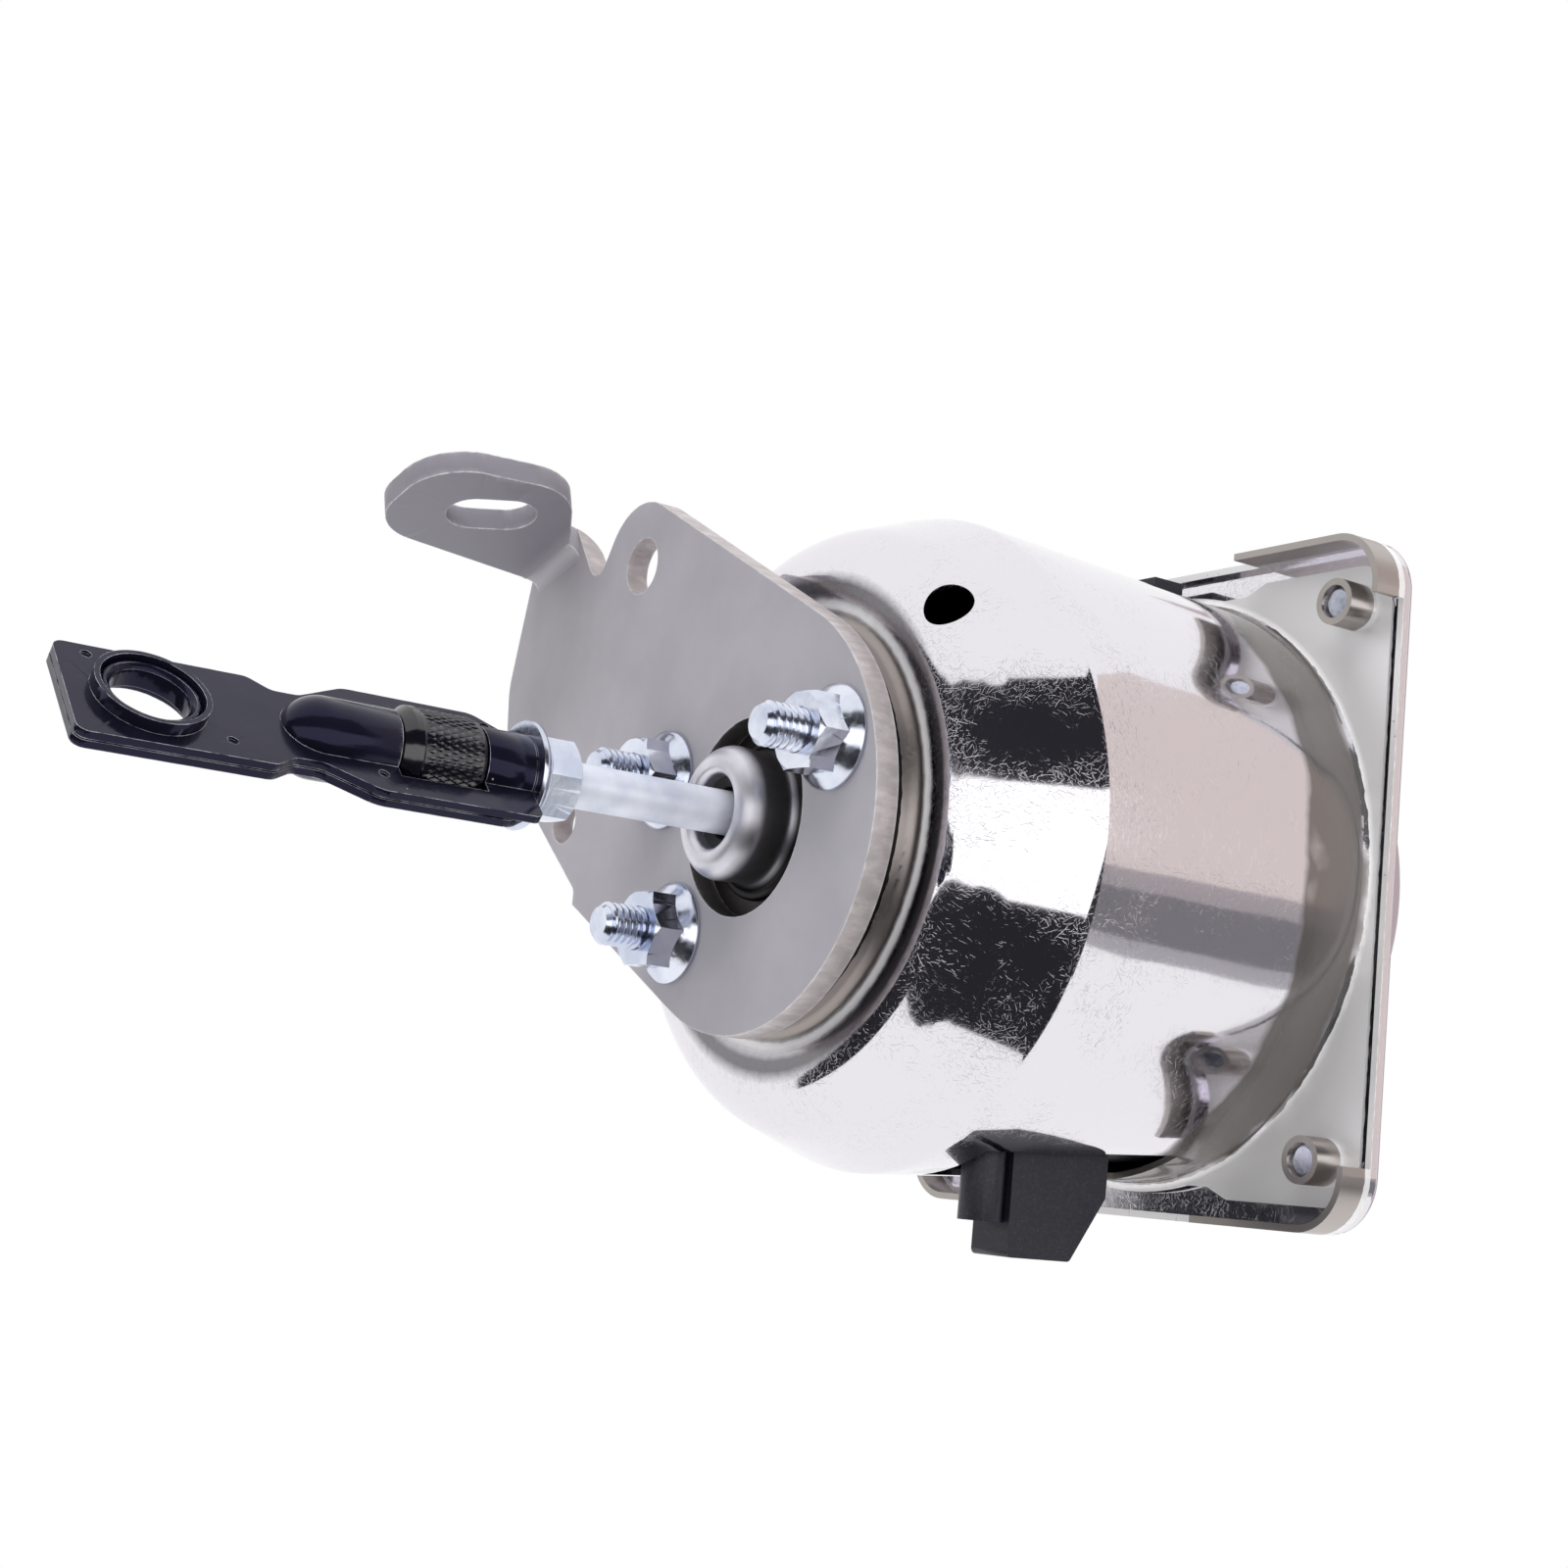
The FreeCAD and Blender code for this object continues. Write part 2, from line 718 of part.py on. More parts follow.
def bend_corner(made, place, depth, reach, radius):
    # an L round the corner of the bend, its inner corner rounded
    return outline(made, [
        (place + depth, place + depth), (-reach, place + depth), (-reach, place),
        (place, place, radius), (place, -reach), (place + depth, -reach)])


bend_fill = bend_corner(bend_sketch(d.tab_inset), -d.plate_height, 0.5,
                        d.plate_height + d.tab_bend + 0.5, d.tab_bend)
pad(bracket, bend_fill, d.tab_root - d.tab_inset)
bend_outer = d.plate_height + d.tab_bend
bend_trim = bend_corner(bend_sketch(as_size(-4)), as_size(0), 3, bend_outer + 0.5, bend_outer)
cut(bracket, bend_trim, d.tab_root + 10, reverse=True)
tab_slot = sketch(bracket, "XY", 0, Rotation(Vector(1, 0, 0), -d.tab_slope.value))
for name, size in (("y", d.tab_across), ("z", d.tab_up)):
    bind(tab_slot, ".AttachmentOffset.Base." + name, size)
bind(tab_slot, ".AttachmentOffset.Rotation.Angle", -d.tab_slope)
straight = d.tab_slot_length / 2
lean, rim = -d.tab_slot_turn, d.tab_slot_radius
outline(tab_slot, [
    (-d.tab_slot_place + straight * along * cos(lean) - rim * across * sin(lean),
     -d.tab_slot_side + straight * along * sin(lean) + rim * across * cos(lean), rim - 0.02)
    for along, across in ((-1, -1), (1, -1), (1, 1), (-1, 1))])
cut(bracket, tab_slot, 2 * d.plate_height + 4, both=True)
bores = ring(sketch(bracket, "YZ", 1), d.bore_radius)
ring(bores, d.ear_hole_radius, d.ear_across, d.ear_up)
ring(bores, d.side_hole_radius, d.side_across, d.side_up)
for across, up in stud_places:
    ring(bores, d.stud_radius + 0.3, across, up)
cut(bracket, bores, d.plate_height + 2)

# mounting_studs: pressed into the housing's nose, with their heads inside
stud = form("stud_form")
stud_tip = -d.plate_height - d.stud_reach
turned_profile(stud, [
    (stud_tip, 0), (stud_tip, d.stud_radius - 0.7), (stud_tip + 0.7, d.stud_radius),
    (nose_rear, d.stud_radius), (nose_rear, d.stud_head_radius),
    (nose_rear + d.stud_head_height, d.stud_head_radius),
    (nose_rear + d.stud_head_height, 0)])
group("mounting_studs", stud, [(0, y, z) for y, z in stud_places])


def hexagon(made, flat):
    corner = flat / 2 / cos(as_size(30.0))
    return outline(made, [(corner * cos(as_size(60.0 * k)), corner * sin(as_size(60.0 * k)))
                          for k in range(6)])


def flange_nut(made, height, bore):
    # the flange starts at X 0 and the six flats stand on it, towards -X
    pad(made, hexagon(sketch(made, "YZ"), d.nut_flat), height, reverse=True)
    corner = d.nut_flat / 2 / cos(as_size(30.0))
    crown = hollow(made, [
        (-height - 1, corner - 1.0), (-height, corner - 0.7), (0.6 - height, corner + 0.1),
        (0.6 - height, corner + 1), (-height - 1, corner + 1)])
    crown.Label = made.Label + "_crown"
    turned_profile(made, [
        (0, 0), (0, d.nut_flange_radius - 0.2), (-0.4, d.nut_flange_radius),
        (-0.8, d.nut_flange_radius - 0.1), (-d.nut_flange_height - 0.9, d.nut_flat / 2 + 0.1),
        (-d.nut_flange_height - 0.9, 0)])
    cut(made, ring(sketch(made, "YZ", 1), bore), height + 2)
    return made


# stud_nuts: flanged hex nuts in front of the bracket
nut = flange_nut(form("stud_nut_form"), d.nut_height, d.stud_radius + d.thread_gap)
group("stud_nuts", nut, [(-d.plate_height, y, z) for y, z in stud_places])

# rod_guide_ring: rolled ring with a foot, swaged through the can's front
guide = body("rod_guide_ring")
ring_outer = d.ring_hole_radius + 2 * d.ring_tube
turned_profile(guide, [
    (-d.ring_reach - d.ring_tube, d.ring_hole_radius, d.ring_mouth),
    (-d.ring_reach - d.ring_tube, ring_outer, d.ring_bulge),
    (-2.0, ring_outer - 0.6, 1.2), (-d.ring_foot_height, ring_outer + 0.5, 0.6),
    (-d.ring_foot_height, d.ring_foot_radius, 0.4), (0, d.ring_foot_radius),
    (0, d.ring_neck_radius), (d.can_sheet, d.ring_neck_radius),
    (d.can_sheet, d.ring_hole_radius)])

# rod_seal: rubber wiper inside the ring
seal = body("rod_seal")
seal_front = -d.ring_reach - 0.4
turned_profile(seal, [
    (seal_front + 0.8, d.rod_radius + 0.6), (seal_front + 0.4, d.ring_hole_radius),
    (seal_front + d.seal_length, d.ring_hole_radius),
    (seal_front + d.seal_length, d.rod_radius + 0.08),
    (seal_front + d.seal_length - 1.2, d.rod_radius + 0.08),
    (seal_front + d.seal_length - 1.8, d.rod_radius + 0.7)])

# push_rod: plain in the middle, threaded in the link and in the lead screw
rod = body("push_rod")
turned_profile(rod, [
    (-d.rod_tip, 0), (-d.rod_tip, d.rod_radius - 0.6), (0.6 - d.rod_tip, d.rod_radius),
    (d.rod_tail, d.rod_radius), (d.rod_tail, 0)])

# lock_nut: flanged hex nut, its flange against the link
lock = flange_nut(body("lock_nut"), d.lock_height, d.rod_radius + d.thread_gap)
lock.Placement = Placement(Vector(0, 0, 0), Rotation(Vector(0, 0, 1), 180))
bind(lock, ".Placement.Base.x", -d.lock_place - d.lock_height)
bind(lock, ".Placement.Rotation.Angle", 180)

# link: eye plate, neck and wings, with a half tube for the rod and a slot for the nut
link_end = d.lock_place + d.lock_height + 0.1
eye_wing = [
    (-d.link_tip, -d.eye_half, 1.5), (-d.eye_plate_end, -d.eye_half, 2.0),
    (-d.neck_start, -d.neck_half, 2.0), (-d.neck_end, -d.neck_half, 3.0),
    (-d.wing_start, -d.wing_half, 4.0), (-link_end, -d.wing_half, 1.2),
    (-link_end, d.wing_half - d.wing_chamfer, 1.5),
    (-link_end - d.wing_chamfer - 1, d.wing_half, 3.0), (-d.wing_start, d.wing_half, 4.0),
    (-d.neck_end, d.neck_half, 3.0), (-d.neck_start, d.neck_half, 2.0),
    (-d.eye_plate_end, d.eye_half, 2.0), (-d.link_tip, d.eye_half, 1.5)]


def link_sheet(label, rise):
    # one pressed sheet, lying on its own XY plane with the tube bulging up
    made = body(label)
    pad(made, outline(sketch(made, "XY"), eye_wing), d.link_sheet)
    shell = outline(sketch(made, "XY"), [
        (-link_end, 0), (-link_end, d.tube_radius),
        (-d.tube_tip, d.tube_radius, d.tube_radius - 0.1), (-d.tube_tip, 0)])
    bulge = turned(made, shell, angle=180)
    bulge.Reversed = False
    tube = ring(sketch(made, "XY"), d.collar_outer, -d.eye_place)
    pad(made, tube, rise)
    bore = d.tube_radius - d.tube_clearance
    inner_tip = d.tube_tip - d.tube_clearance
    hollow(made, [
        (1 - link_end, 0), (1 - link_end, bore), (-inner_tip, bore, bore - 0.1), (-inner_tip, 0)])
    cut(made, ring(sketch(made, "XY", -1), d.collar_outer - d.collar_wall, -d.eye_place),
        rise + 2, reverse=True)
    opening = box(sketch(made, "XY", -1), -d.slot_front, -d.slot_rear, -d.slot_half, d.slot_half)
    cut(made, opening, d.tube_radius + 2, reverse=True)
    dimples = sketch(made, "XY", d.link_sheet - d.dimple_depth)
    for along, across in ((d.link_tip - 3.9, 7.0), (d.eye_plate_end + 5.0, -5.6),
                          (d.slot_front + 2.4, -6.9), (link_end + 2.6, 8.0)):
        ring(dimples, d.dimple_radius, -along, across)
    cut(made, dimples, 2, reverse=True)
    return made


upper = link_sheet("link_upper_sheet", d.collar_rise)
place(upper, 0, -d.link_gap / 2 * sin(d.link_turn), d.link_gap / 2 * cos(d.link_turn), d.link_turn)
lower = link_sheet("link_lower_sheet", d.collar_drop)
place(lower, 0, d.link_gap / 2 * sin(d.link_turn), -d.link_gap / 2 * cos(d.link_turn),
      d.link_turn + 180)

# eye_bush: pressed into both sheets' collars, waisted above its belt
bush = body("eye_bush")
belt = d.collar_outer - d.collar_wall
bush_wall = d.bush_bore + d.bush_wall
turned(bush, outline(sketch(bush, "XZ"), [
    (d.bush_bore, -d.bush_drop, 0.3), (belt, -d.bush_drop), (belt, d.bush_belt),
    (bush_wall, d.bush_belt + 0.3), (bush_wall, d.bush_rise, 0.2),
    (d.bush_bore + d.bush_mouth, d.bush_rise), (d.bush_bore, d.bush_rise - d.bush_mouth)]), "Z")
place(bush, -d.eye_place, 0, 0, d.link_turn)

# adjuster_nut: threaded sleeve with a collar, turned by hand in the slot
adjuster = body("adjuster_nut")
adjuster_front = -d.slot_front + d.adjuster_gap
adjuster_rear = -d.slot_rear - d.adjuster_gap
turned_profile(adjuster, [
    (adjuster_front, d.rod_radius + d.thread_gap), (adjuster_front, d.adjuster_radius - 1),
    (adjuster_front + d.adjuster_chamfer, d.adjuster_radius),
    (adjuster_rear - 0.5, d.adjuster_radius), (adjuster_rear, d.adjuster_radius - 0.5),
    (adjuster_rear, d.rod_radius + d.thread_gap)])

# gear axes, seen along the rod: the wheel stands above the rod, the motor beside it
wheel_reach = d.tooth_module * (d.small_teeth + d.drive_teeth) / 2
pinion_reach = d.tooth_module * (d.pinion_teeth + d.wheel_teeth) / 2
motor_lift = ((wheel_reach * wheel_reach + d.motor_reach * d.motor_reach
               - pinion_reach * pinion_reach) / (2 * wheel_reach))
motor_side = Size((d.motor_reach.value ** 2 - motor_lift.value ** 2) ** 0.5,
                  "sqrt(%s)" % (d.motor_reach * d.motor_reach - motor_lift * motor_lift).text)
board_top = -d.shelf_up
shelf_low = d.shelf_middle - d.shelf_half
shelf_high = d.shelf_middle + d.shelf_half

# actuator_housing: nose, guide tube, motor tube, bulkhead, gear case and connector in one
housing = body("actuator_housing")
turned_profile(housing, [
    (d.can_sheet, 0), (d.can_sheet, nose_radius), (nose_rear, nose_radius),
    (nose_rear, d.tube_outer), (d.bulkhead_front, d.tube_outer),
    (d.bulkhead_front, case_radius), (d.case_end, case_radius),
    (d.case_end, case_radius - d.case_wall), (bulkhead_rear, case_radius - d.case_wall),
    (bulkhead_rear, 0)])
motor_tube = d.motor_radius + d.motor_gap + 1.8
pad(housing, ring(sketch(housing, "YZ", d.motor_front - 1.5), motor_tube, motor_side, motor_lift),
    d.bulkhead_front - d.motor_front + 2)
rib_low = d.tube_outer - 1
pad(housing, outline(sketch(housing, "XY"), [
    (nose_rear - 1, -rib_low), (d.bulkhead_front + 1, -rib_low),
    (d.bulkhead_front + 1, -case_radius + 2), (nose_rear - 1, -nose_radius + 2)]),
    2 * d.rib_half, both=True)
pad(housing, outline(sketch(housing, "XZ"), [
    (nose_rear - 1, rib_low), (d.bulkhead_front + 1, rib_low),
    (d.bulkhead_front + 1, case_radius - 2), (nose_rear - 1, nose_radius - 2)]),
    2 * d.rib_half, both=True)
pad(housing, box(sketch(housing, "XY", board_top), d.shelf_front, d.bulkhead_front + 1,
                 shelf_low, shelf_high), 4)
plug_low = d.plug_middle - d.plug_half
plug_high = d.plug_middle + d.plug_half
plug = outline(sketch(housing, "XZ", -plug_high), [
    (d.plug_front, -d.plug_bottom, 0.8), (d.plug_end, -d.plug_bottom, 0.8),
    (d.plug_top_end, -d.plug_top - 10), (d.plug_top_end, -d.plug_top),
    (d.plug_front, -d.plug_top)])
pad(housing, plug, 2 * d.plug_half)
post = ring(sketch(housing, "XY", -d.post_bottom), d.post_radius, d.post_place, d.post_across)
pad(housing, post, d.post_bottom - d.plug_top)
web = box(sketch(housing, "XY", -d.web_bottom), d.post_place, d.plug_front + 1,
          d.post_across - d.web_half, d.post_across + d.web_half)
pad(housing, web, d.web_bottom - d.plug_top)
cut(housing, ring(sketch(housing, "YZ", -1), d.nose_hole_radius), 60, reverse=True)
cut(housing, ring(sketch(housing, "YZ", nose_rear), d.guide_radius),
    d.bulkhead_front - nose_rear, reverse=True)
cut(housing, ring(sketch(housing, "YZ", d.bulkhead_front - 0.01), d.bearing_radius),
    60, reverse=True)
key = box(sketch(housing, "YZ", nose_rear), -d.key_half, d.key_half, 0, d.key_reach)
cut(housing, key, d.bulkhead_front - nose_rear, reverse=True)
cut(housing, ring(sketch(housing, "YZ", d.motor_front), d.motor_radius + d.motor_gap,
                  motor_side, motor_lift), d.bulkhead_front - d.motor_front, reverse=True)
pinion_tip = d.tooth_module * (d.pinion_teeth / 2 + 1)
cut(housing, ring(sketch(housing, "YZ", d.bulkhead_front - 1), pinion_tip + 0.5,
                  motor_side, motor_lift), 8, reverse=True)
cut(housing, ring(sketch(housing, "YZ", d.bulkhead_front - 1), d.pin_radius, 0, wheel_reach),
    8, reverse=True)
stud_seats = sketch(housing, "YZ", 0)
for across, up in stud_places:
    ring(stud_seats, d.stud_radius, across, up)
cut(housing, stud_seats, nose_rear + 1, reverse=True)
plug_room = outline(sketch(housing, "XZ", -plug_high + d.plug_wall), [
    (d.plug_front + d.plug_wall, -d.plug_bottom - 1),
    (d.plug_end - d.plug_wall, -d.plug_bottom - 1),
    (d.plug_end - d.plug_wall + 1.5, -d.plug_bottom + d.plug_depth, 0.8),
    (d.plug_front + d.plug_wall, -d.plug_bottom + d.plug_depth, 0.8)])
cut(housing, plug_room, 2 * (d.plug_half - d.plug_wall), reverse=True)
pin_row = [d.pin_place + d.pin_pitch * k for k in (-1.5, -0.5, 0.5, 1.5)]
pin_seats = sketch(housing, "XY", -d.plug_bottom)
for along in pin_row:
    box(pin_seats, along - d.pin_half, along + d.pin_half,
        d.plug_middle - d.pin_half, d.plug_middle + d.pin_half)
cut(housing, pin_seats, d.plug_bottom - d.plug_top + 1, reverse=True)
bosses = [(lid_screw_reach * cos(as_size(a)), lid_screw_reach * sin(as_size(a)))
          for a in (150.0, 210.0, 330.0, 0.0)]
towers = sketch(housing, "YZ", bulkhead_rear - 0.5)
for across, up in bosses:
    ring(towers, d.lid_boss_radius, across, up)
pad(housing, towers, d.case_end - bulkhead_rear + 0.5)
screw_seats = sketch(housing, "YZ", d.case_end - 7)
for across, up in bosses:
    ring(screw_seats, d.lid_screw_radius, across, up)
cut(housing, screw_seats, 8, reverse=True)

# housing_lid: closes the gear case; its cap gives the lead screw room
lid = body("housing_lid")
turned_profile(lid, [
    (d.case_end, 0), (d.case_end, case_radius), (lid_rear, case_radius, 0.8),
    (lid_rear, d.lid_cap_radius, 1.0), (d.lid_cap_end, d.lid_cap_radius - 1, 2.0),
    (d.lid_cap_end, 0)])
cut(lid, ring(sketch(lid, "YZ", d.case_end - 1), d.bearing_radius), d.bulkhead_height + 1,
    reverse=True)
cut(lid, ring(sketch(lid, "YZ", d.case_end - 1), d.lid_cap_bore),
    d.lid_cap_end - d.case_end - 1, reverse=True)
cut(lid, ring(sketch(lid, "YZ", d.case_end - 1), d.pin_radius, 0, wheel_reach), 3, reverse=True)
lid_holes = sketch(lid, "YZ", d.case_end - 1)
for across, up in bosses:
    ring(lid_holes, d.lid_screw_radius + 0.2, across, up)
cut(lid, lid_holes, d.lid_height + 2, reverse=True)
pad(lid, box(sketch(lid, "XY", case_radius - 3), d.case_end + 0.6, d.flange_place - 1.2,
             -d.peg_half, d.peg_half), d.peg_reach - case_radius + 3)

# lid_screws: four pan heads in the gear case rim
lid_screw = form("lid_screw_form")
turned_profile(lid_screw, [
    (-d.lid_screw_length, 0), (-d.lid_screw_length, d.lid_screw_radius - 0.05),
    (0, d.lid_screw_radius - 0.05), (0, d.lid_screw_head_radius),
    (d.lid_screw_head_height, d.lid_screw_head_radius, 0.9), (d.lid_screw_head_height, 0)])
group("lid_screws", lid_screw, [(lid_rear, y, z) for y, z in bosses])

# front_bearing and rear_bearing: sintered bushes for the drive nut
for label, front in (("front_bearing", d.bulkhead_front), ("rear_bearing", d.case_end)):
    bearing = body(label)
    made = ring(sketch(bearing, "YZ", front), d.bearing_radius)
    ring(made, d.journal_radius + d.journal_gap)
    pad(bearing, made, d.bulkhead_height)


def toothed(owner, teeth, front, height, first=degrees(0)):
    # cuts the tooth spaces of a wheel about X; first turns the pattern
    pitch = d.tooth_module * teeth / 2
    half = d.tooth_module * (math.pi / 4) + d.tooth_gap / 2
    slope = math.tan(math.radians(20))
    deep, high = 1.2 * d.tooth_module, 1.3 * d.tooth_module
    gap = sketch(owner, "YZ", front - 0.5, Rotation(Vector(0, 0, 1), 1))
    bind(gap, ".AttachmentOffset.Rotation.Angle", first)
    outline(gap, [
        (deep * slope - half, pitch - deep), (half - deep * slope, pitch - deep),
        (half + high * slope, pitch + high), (-half - high * slope, pitch + high)])
    made = cut(owner, gap, height + 1, reverse=True)
    return around(owner, made, teeth)


# the gears in mesh at rest: each tooth points at a space of its partner
wheel_line = Size(
    math.degrees(math.atan2(motor_lift.value - wheel_reach.value, motor_side.value)),
    "atan2(%s; %s)" % ((motor_lift - wheel_reach).text, motor_side.text))
half_tooth = degrees(180) / d.pinion_teeth
half_small = degrees(180) / d.small_teeth

# motor_pinion: rotor shaft with the pinion cut on it
pinion = body("motor_pinion")
pinion_front = d.wheel_front - 0.5
pinion_end = d.wheel_front + d.wheel_height + 0.4
turned_profile(pinion, [
    (d.motor_front + 7, 0), (d.motor_front + 7, d.motor_shaft_radius),
    (pinion_front, d.motor_shaft_radius), (pinion_front, pinion_tip),
    (pinion_end, pinion_tip), (pinion_end, 0)])
toothed(pinion, d.pinion_teeth, pinion_front, pinion_end - pinion_front)
place(pinion, 0, motor_side, motor_lift, wheel_line + degrees(90) + half_tooth)

# motor_can: plain can with a front boss, its shaft bore open to the gear case
motor = body("motor_can")
motor_rear = d.bulkhead_front
turned_profile(motor, [
    (d.motor_front, 0), (d.motor_front, d.motor_radius, 1.2),
    (motor_rear, d.motor_radius), (motor_rear, 3.5), (motor_rear + 1.2, 3.5),
    (motor_rear + 1.2, 0)])
cut(motor, ring(sketch(motor, "YZ", d.motor_front + 6.5), d.motor_shaft_radius + d.journal_gap),
    40, reverse=True)
place(motor, 0, motor_side, motor_lift, 0)

# idler_wheel: big wheel and small wheel in one, on a fixed pin
idler = body("idler_wheel")
wheel_tip = d.tooth_module * (d.wheel_teeth / 2 + 1)
small_tip = d.tooth_module * (d.small_teeth / 2 + 1)
wheel_end = d.wheel_front + d.wheel_height
small_front = d.drive_front - 0.3
small_end = d.drive_front + d.drive_height + 0.3
turned_profile(idler, [
    (d.wheel_front, d.pin_radius + d.journal_gap), (d.wheel_front, wheel_tip),
    (wheel_end, wheel_tip), (wheel_end, d.small_teeth * d.tooth_module / 2 - 1),
    (small_front, d.small_teeth * d.tooth_module / 2 - 1), (small_front, small_tip),
    (small_end, small_tip), (small_end, d.pin_radius + d.journal_gap)])
toothed(idler, d.wheel_teeth, d.wheel_front, d.wheel_height)
toothed(idler, d.small_teeth, small_front, small_end - small_front,
        degrees(270) + half_small - wheel_line)
place(idler, 0, 0, wheel_reach, wheel_line - degrees(90))

# idler_pin: fixed in the bulkhead and the lid
pin = body("idler_pin")
turned_profile(pin, [
    (d.bulkhead_front, 0), (d.bulkhead_front, d.pin_radius), (d.case_end + 1.8, d.pin_radius),
    (d.case_end + 1.8, 0)])
place(pin, 0, 0, wheel_reach, 0)

# drive_nut: gear wheel with a threaded hub that turns on the lead screw
drive_nut = body("drive_nut")
drive_tip = d.tooth_module * (d.drive_teeth / 2 + 1)
drive_end = d.drive_front + d.drive_height
screw_bore = d.lead_radius + d.thread_gap
turned_profile(drive_nut, [
    (d.bulkhead_front + 0.2, screw_bore), (d.bulkhead_front + 0.2, d.journal_radius),
    (bulkhead_rear + 0.2, d.journal_radius), (bulkhead_rear + 0.2, d.hub_radius),
    (d.drive_front, d.hub_radius), (d.drive_front, drive_tip), (drive_end, drive_tip),
    (drive_end, d.hub_radius), (d.case_end - 0.2, d.hub_radius),
    (d.case_end - 0.2, d.journal_radius),
    (d.case_end + d.bulkhead_height - 0.4, d.journal_radius),
    (d.case_end + d.bulkhead_height - 0.4, screw_bore)])
toothed(drive_nut, d.drive_teeth, d.drive_front, d.drive_height)

# lead_screw: threaded spindle with a socket for the push rod
lead = body("lead_screw")
turned_profile(lead, [
    (d.lead_front, 0), (d.lead_front, d.lead_radius + 1), (d.lead_front + 9, d.lead_radius + 1),
    (d.lead_front + 9, d.lead_radius), (d.lead_end - 0.6, d.lead_radius),
    (d.lead_end, d.lead_radius - 0.6), (d.lead_end, 0)])
cut(lead, ring(sketch(lead, "YZ", d.lead_front - 1), d.rod_radius + d.thread_gap),
    d.rod_tail - d.lead_front + 1.1, reverse=True)

# guide_slider: keyed block on the lead screw, slides in the guide tube
slider = body("guide_slider")
slider_outer = d.guide_radius - d.slider_gap
slider_end = d.lead_front + d.slider_length
slide_ring = ring(sketch(slider, "YZ", d.lead_front), slider_outer)
pad(slider, slide_ring, d.slider_length)
pad(slider, box(sketch(slider, "YZ", d.lead_front), -d.key_half + d.key_gap,
                d.key_half - d.key_gap, 5, d.key_reach - d.key_gap), d.slider_length)
cut(slider, ring(sketch(slider, "YZ", d.lead_front - 1), d.lead_radius + 1), 10, reverse=True)
cut(slider, ring(sketch(slider, "YZ", d.lead_front - 1), d.lead_radius), 30, reverse=True)
magnet_along = d.lead_front + d.slider_length / 2
magnet_low = -slider_outer + 0.3
cut(slider, ring(sketch(slider, "XY", -slider_outer - 1), d.magnet_radius, magnet_along),
    1.3 + d.magnet_height, reverse=True)

# position_magnet: disc in the underside of the slider
magnet = body("position_magnet")
pad(magnet, ring(sketch(magnet, "XY", magnet_low), d.magnet_radius, magnet_along),
    d.magnet_height)

# sensor_board: under the shelf of the housing
board = body("sensor_board")
board_end = d.shelf_front + d.board_length
board_low = board_top - d.board_height
pad(board, box(sketch(board, "XY", board_low), d.shelf_front, board_end, shelf_low, shelf_high),
    d.board_height)
board_holes = sketch(board, "XY", board_low - 1)
for along in pin_row:
    box(board_holes, along - d.pin_half, along + d.pin_half,
        d.plug_middle - d.pin_half, d.plug_middle + d.pin_half)
cut(board, board_holes, d.board_height + 2, reverse=True)

# connector_pins: four straight pins from the board into the connector
pins = doc.addObject("Part::Compound", "connector_pins")
pins.Label = "connector_pins"
pin_forms = []
for along in pin_row:
    blade = doc.addObject("Part::Box", "connector_pin")
    blade.setExpression("Length", (2 * d.pin_half).text)
    blade.setExpression("Width", (2 * d.pin_half).text)
    blade.setExpression("Height", (d.pin_end + board_top).text)
    for name, size in (("x", along - d.pin_half), ("y", d.plug_middle - d.pin_half),
                       ("z", -d.pin_end)):
        bind(blade, ".Placement.Base." + name, size)
    pin_forms.append(blade)
pins.Links = pin_forms
nodes.append(pins)

doc.recompute()
faults = [thing.Name for thing in doc.Objects
          if any(mark in ("Invalid", "Error") for mark in thing.State)]
for node in nodes:
    if node.Shape.isNull() or not node.Shape.isValid():
        faults.append(node.Label)
if faults:
    raise RuntimeError("not sound: " + ", ".join(faults))

os.makedirs("parts", exist_ok=True)
for node in nodes:
    node.Shape.exportStep("parts/%s.step" % node.Label)
    print("%-20s %2d solids %9.1f mm3" % (node.Label, len(node.Shape.Solids), node.Shape.Volume))
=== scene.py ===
import json
import math

import bmesh
import bpy
from mathutils import Matrix, Vector

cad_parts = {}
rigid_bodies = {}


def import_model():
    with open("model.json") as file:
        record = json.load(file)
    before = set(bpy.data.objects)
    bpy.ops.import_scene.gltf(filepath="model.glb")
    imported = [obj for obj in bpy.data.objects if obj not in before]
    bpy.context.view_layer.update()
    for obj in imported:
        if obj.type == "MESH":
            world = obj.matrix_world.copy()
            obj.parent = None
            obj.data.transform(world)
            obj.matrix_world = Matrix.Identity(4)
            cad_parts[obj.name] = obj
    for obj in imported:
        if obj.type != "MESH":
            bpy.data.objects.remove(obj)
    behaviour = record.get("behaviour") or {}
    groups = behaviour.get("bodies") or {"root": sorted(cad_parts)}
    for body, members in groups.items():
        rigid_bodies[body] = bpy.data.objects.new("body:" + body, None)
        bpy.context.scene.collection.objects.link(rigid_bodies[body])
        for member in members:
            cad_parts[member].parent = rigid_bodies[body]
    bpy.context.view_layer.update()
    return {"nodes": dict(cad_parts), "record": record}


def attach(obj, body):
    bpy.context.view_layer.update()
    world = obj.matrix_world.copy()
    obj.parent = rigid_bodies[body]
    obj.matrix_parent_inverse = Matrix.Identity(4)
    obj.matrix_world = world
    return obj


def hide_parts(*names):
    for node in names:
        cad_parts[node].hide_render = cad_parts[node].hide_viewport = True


# Wastegate actuator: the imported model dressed, lit and framed as in the photograph.

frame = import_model()
nodes = frame["nodes"]
mm = 0.001
print("loaded", len(nodes), "nodes")


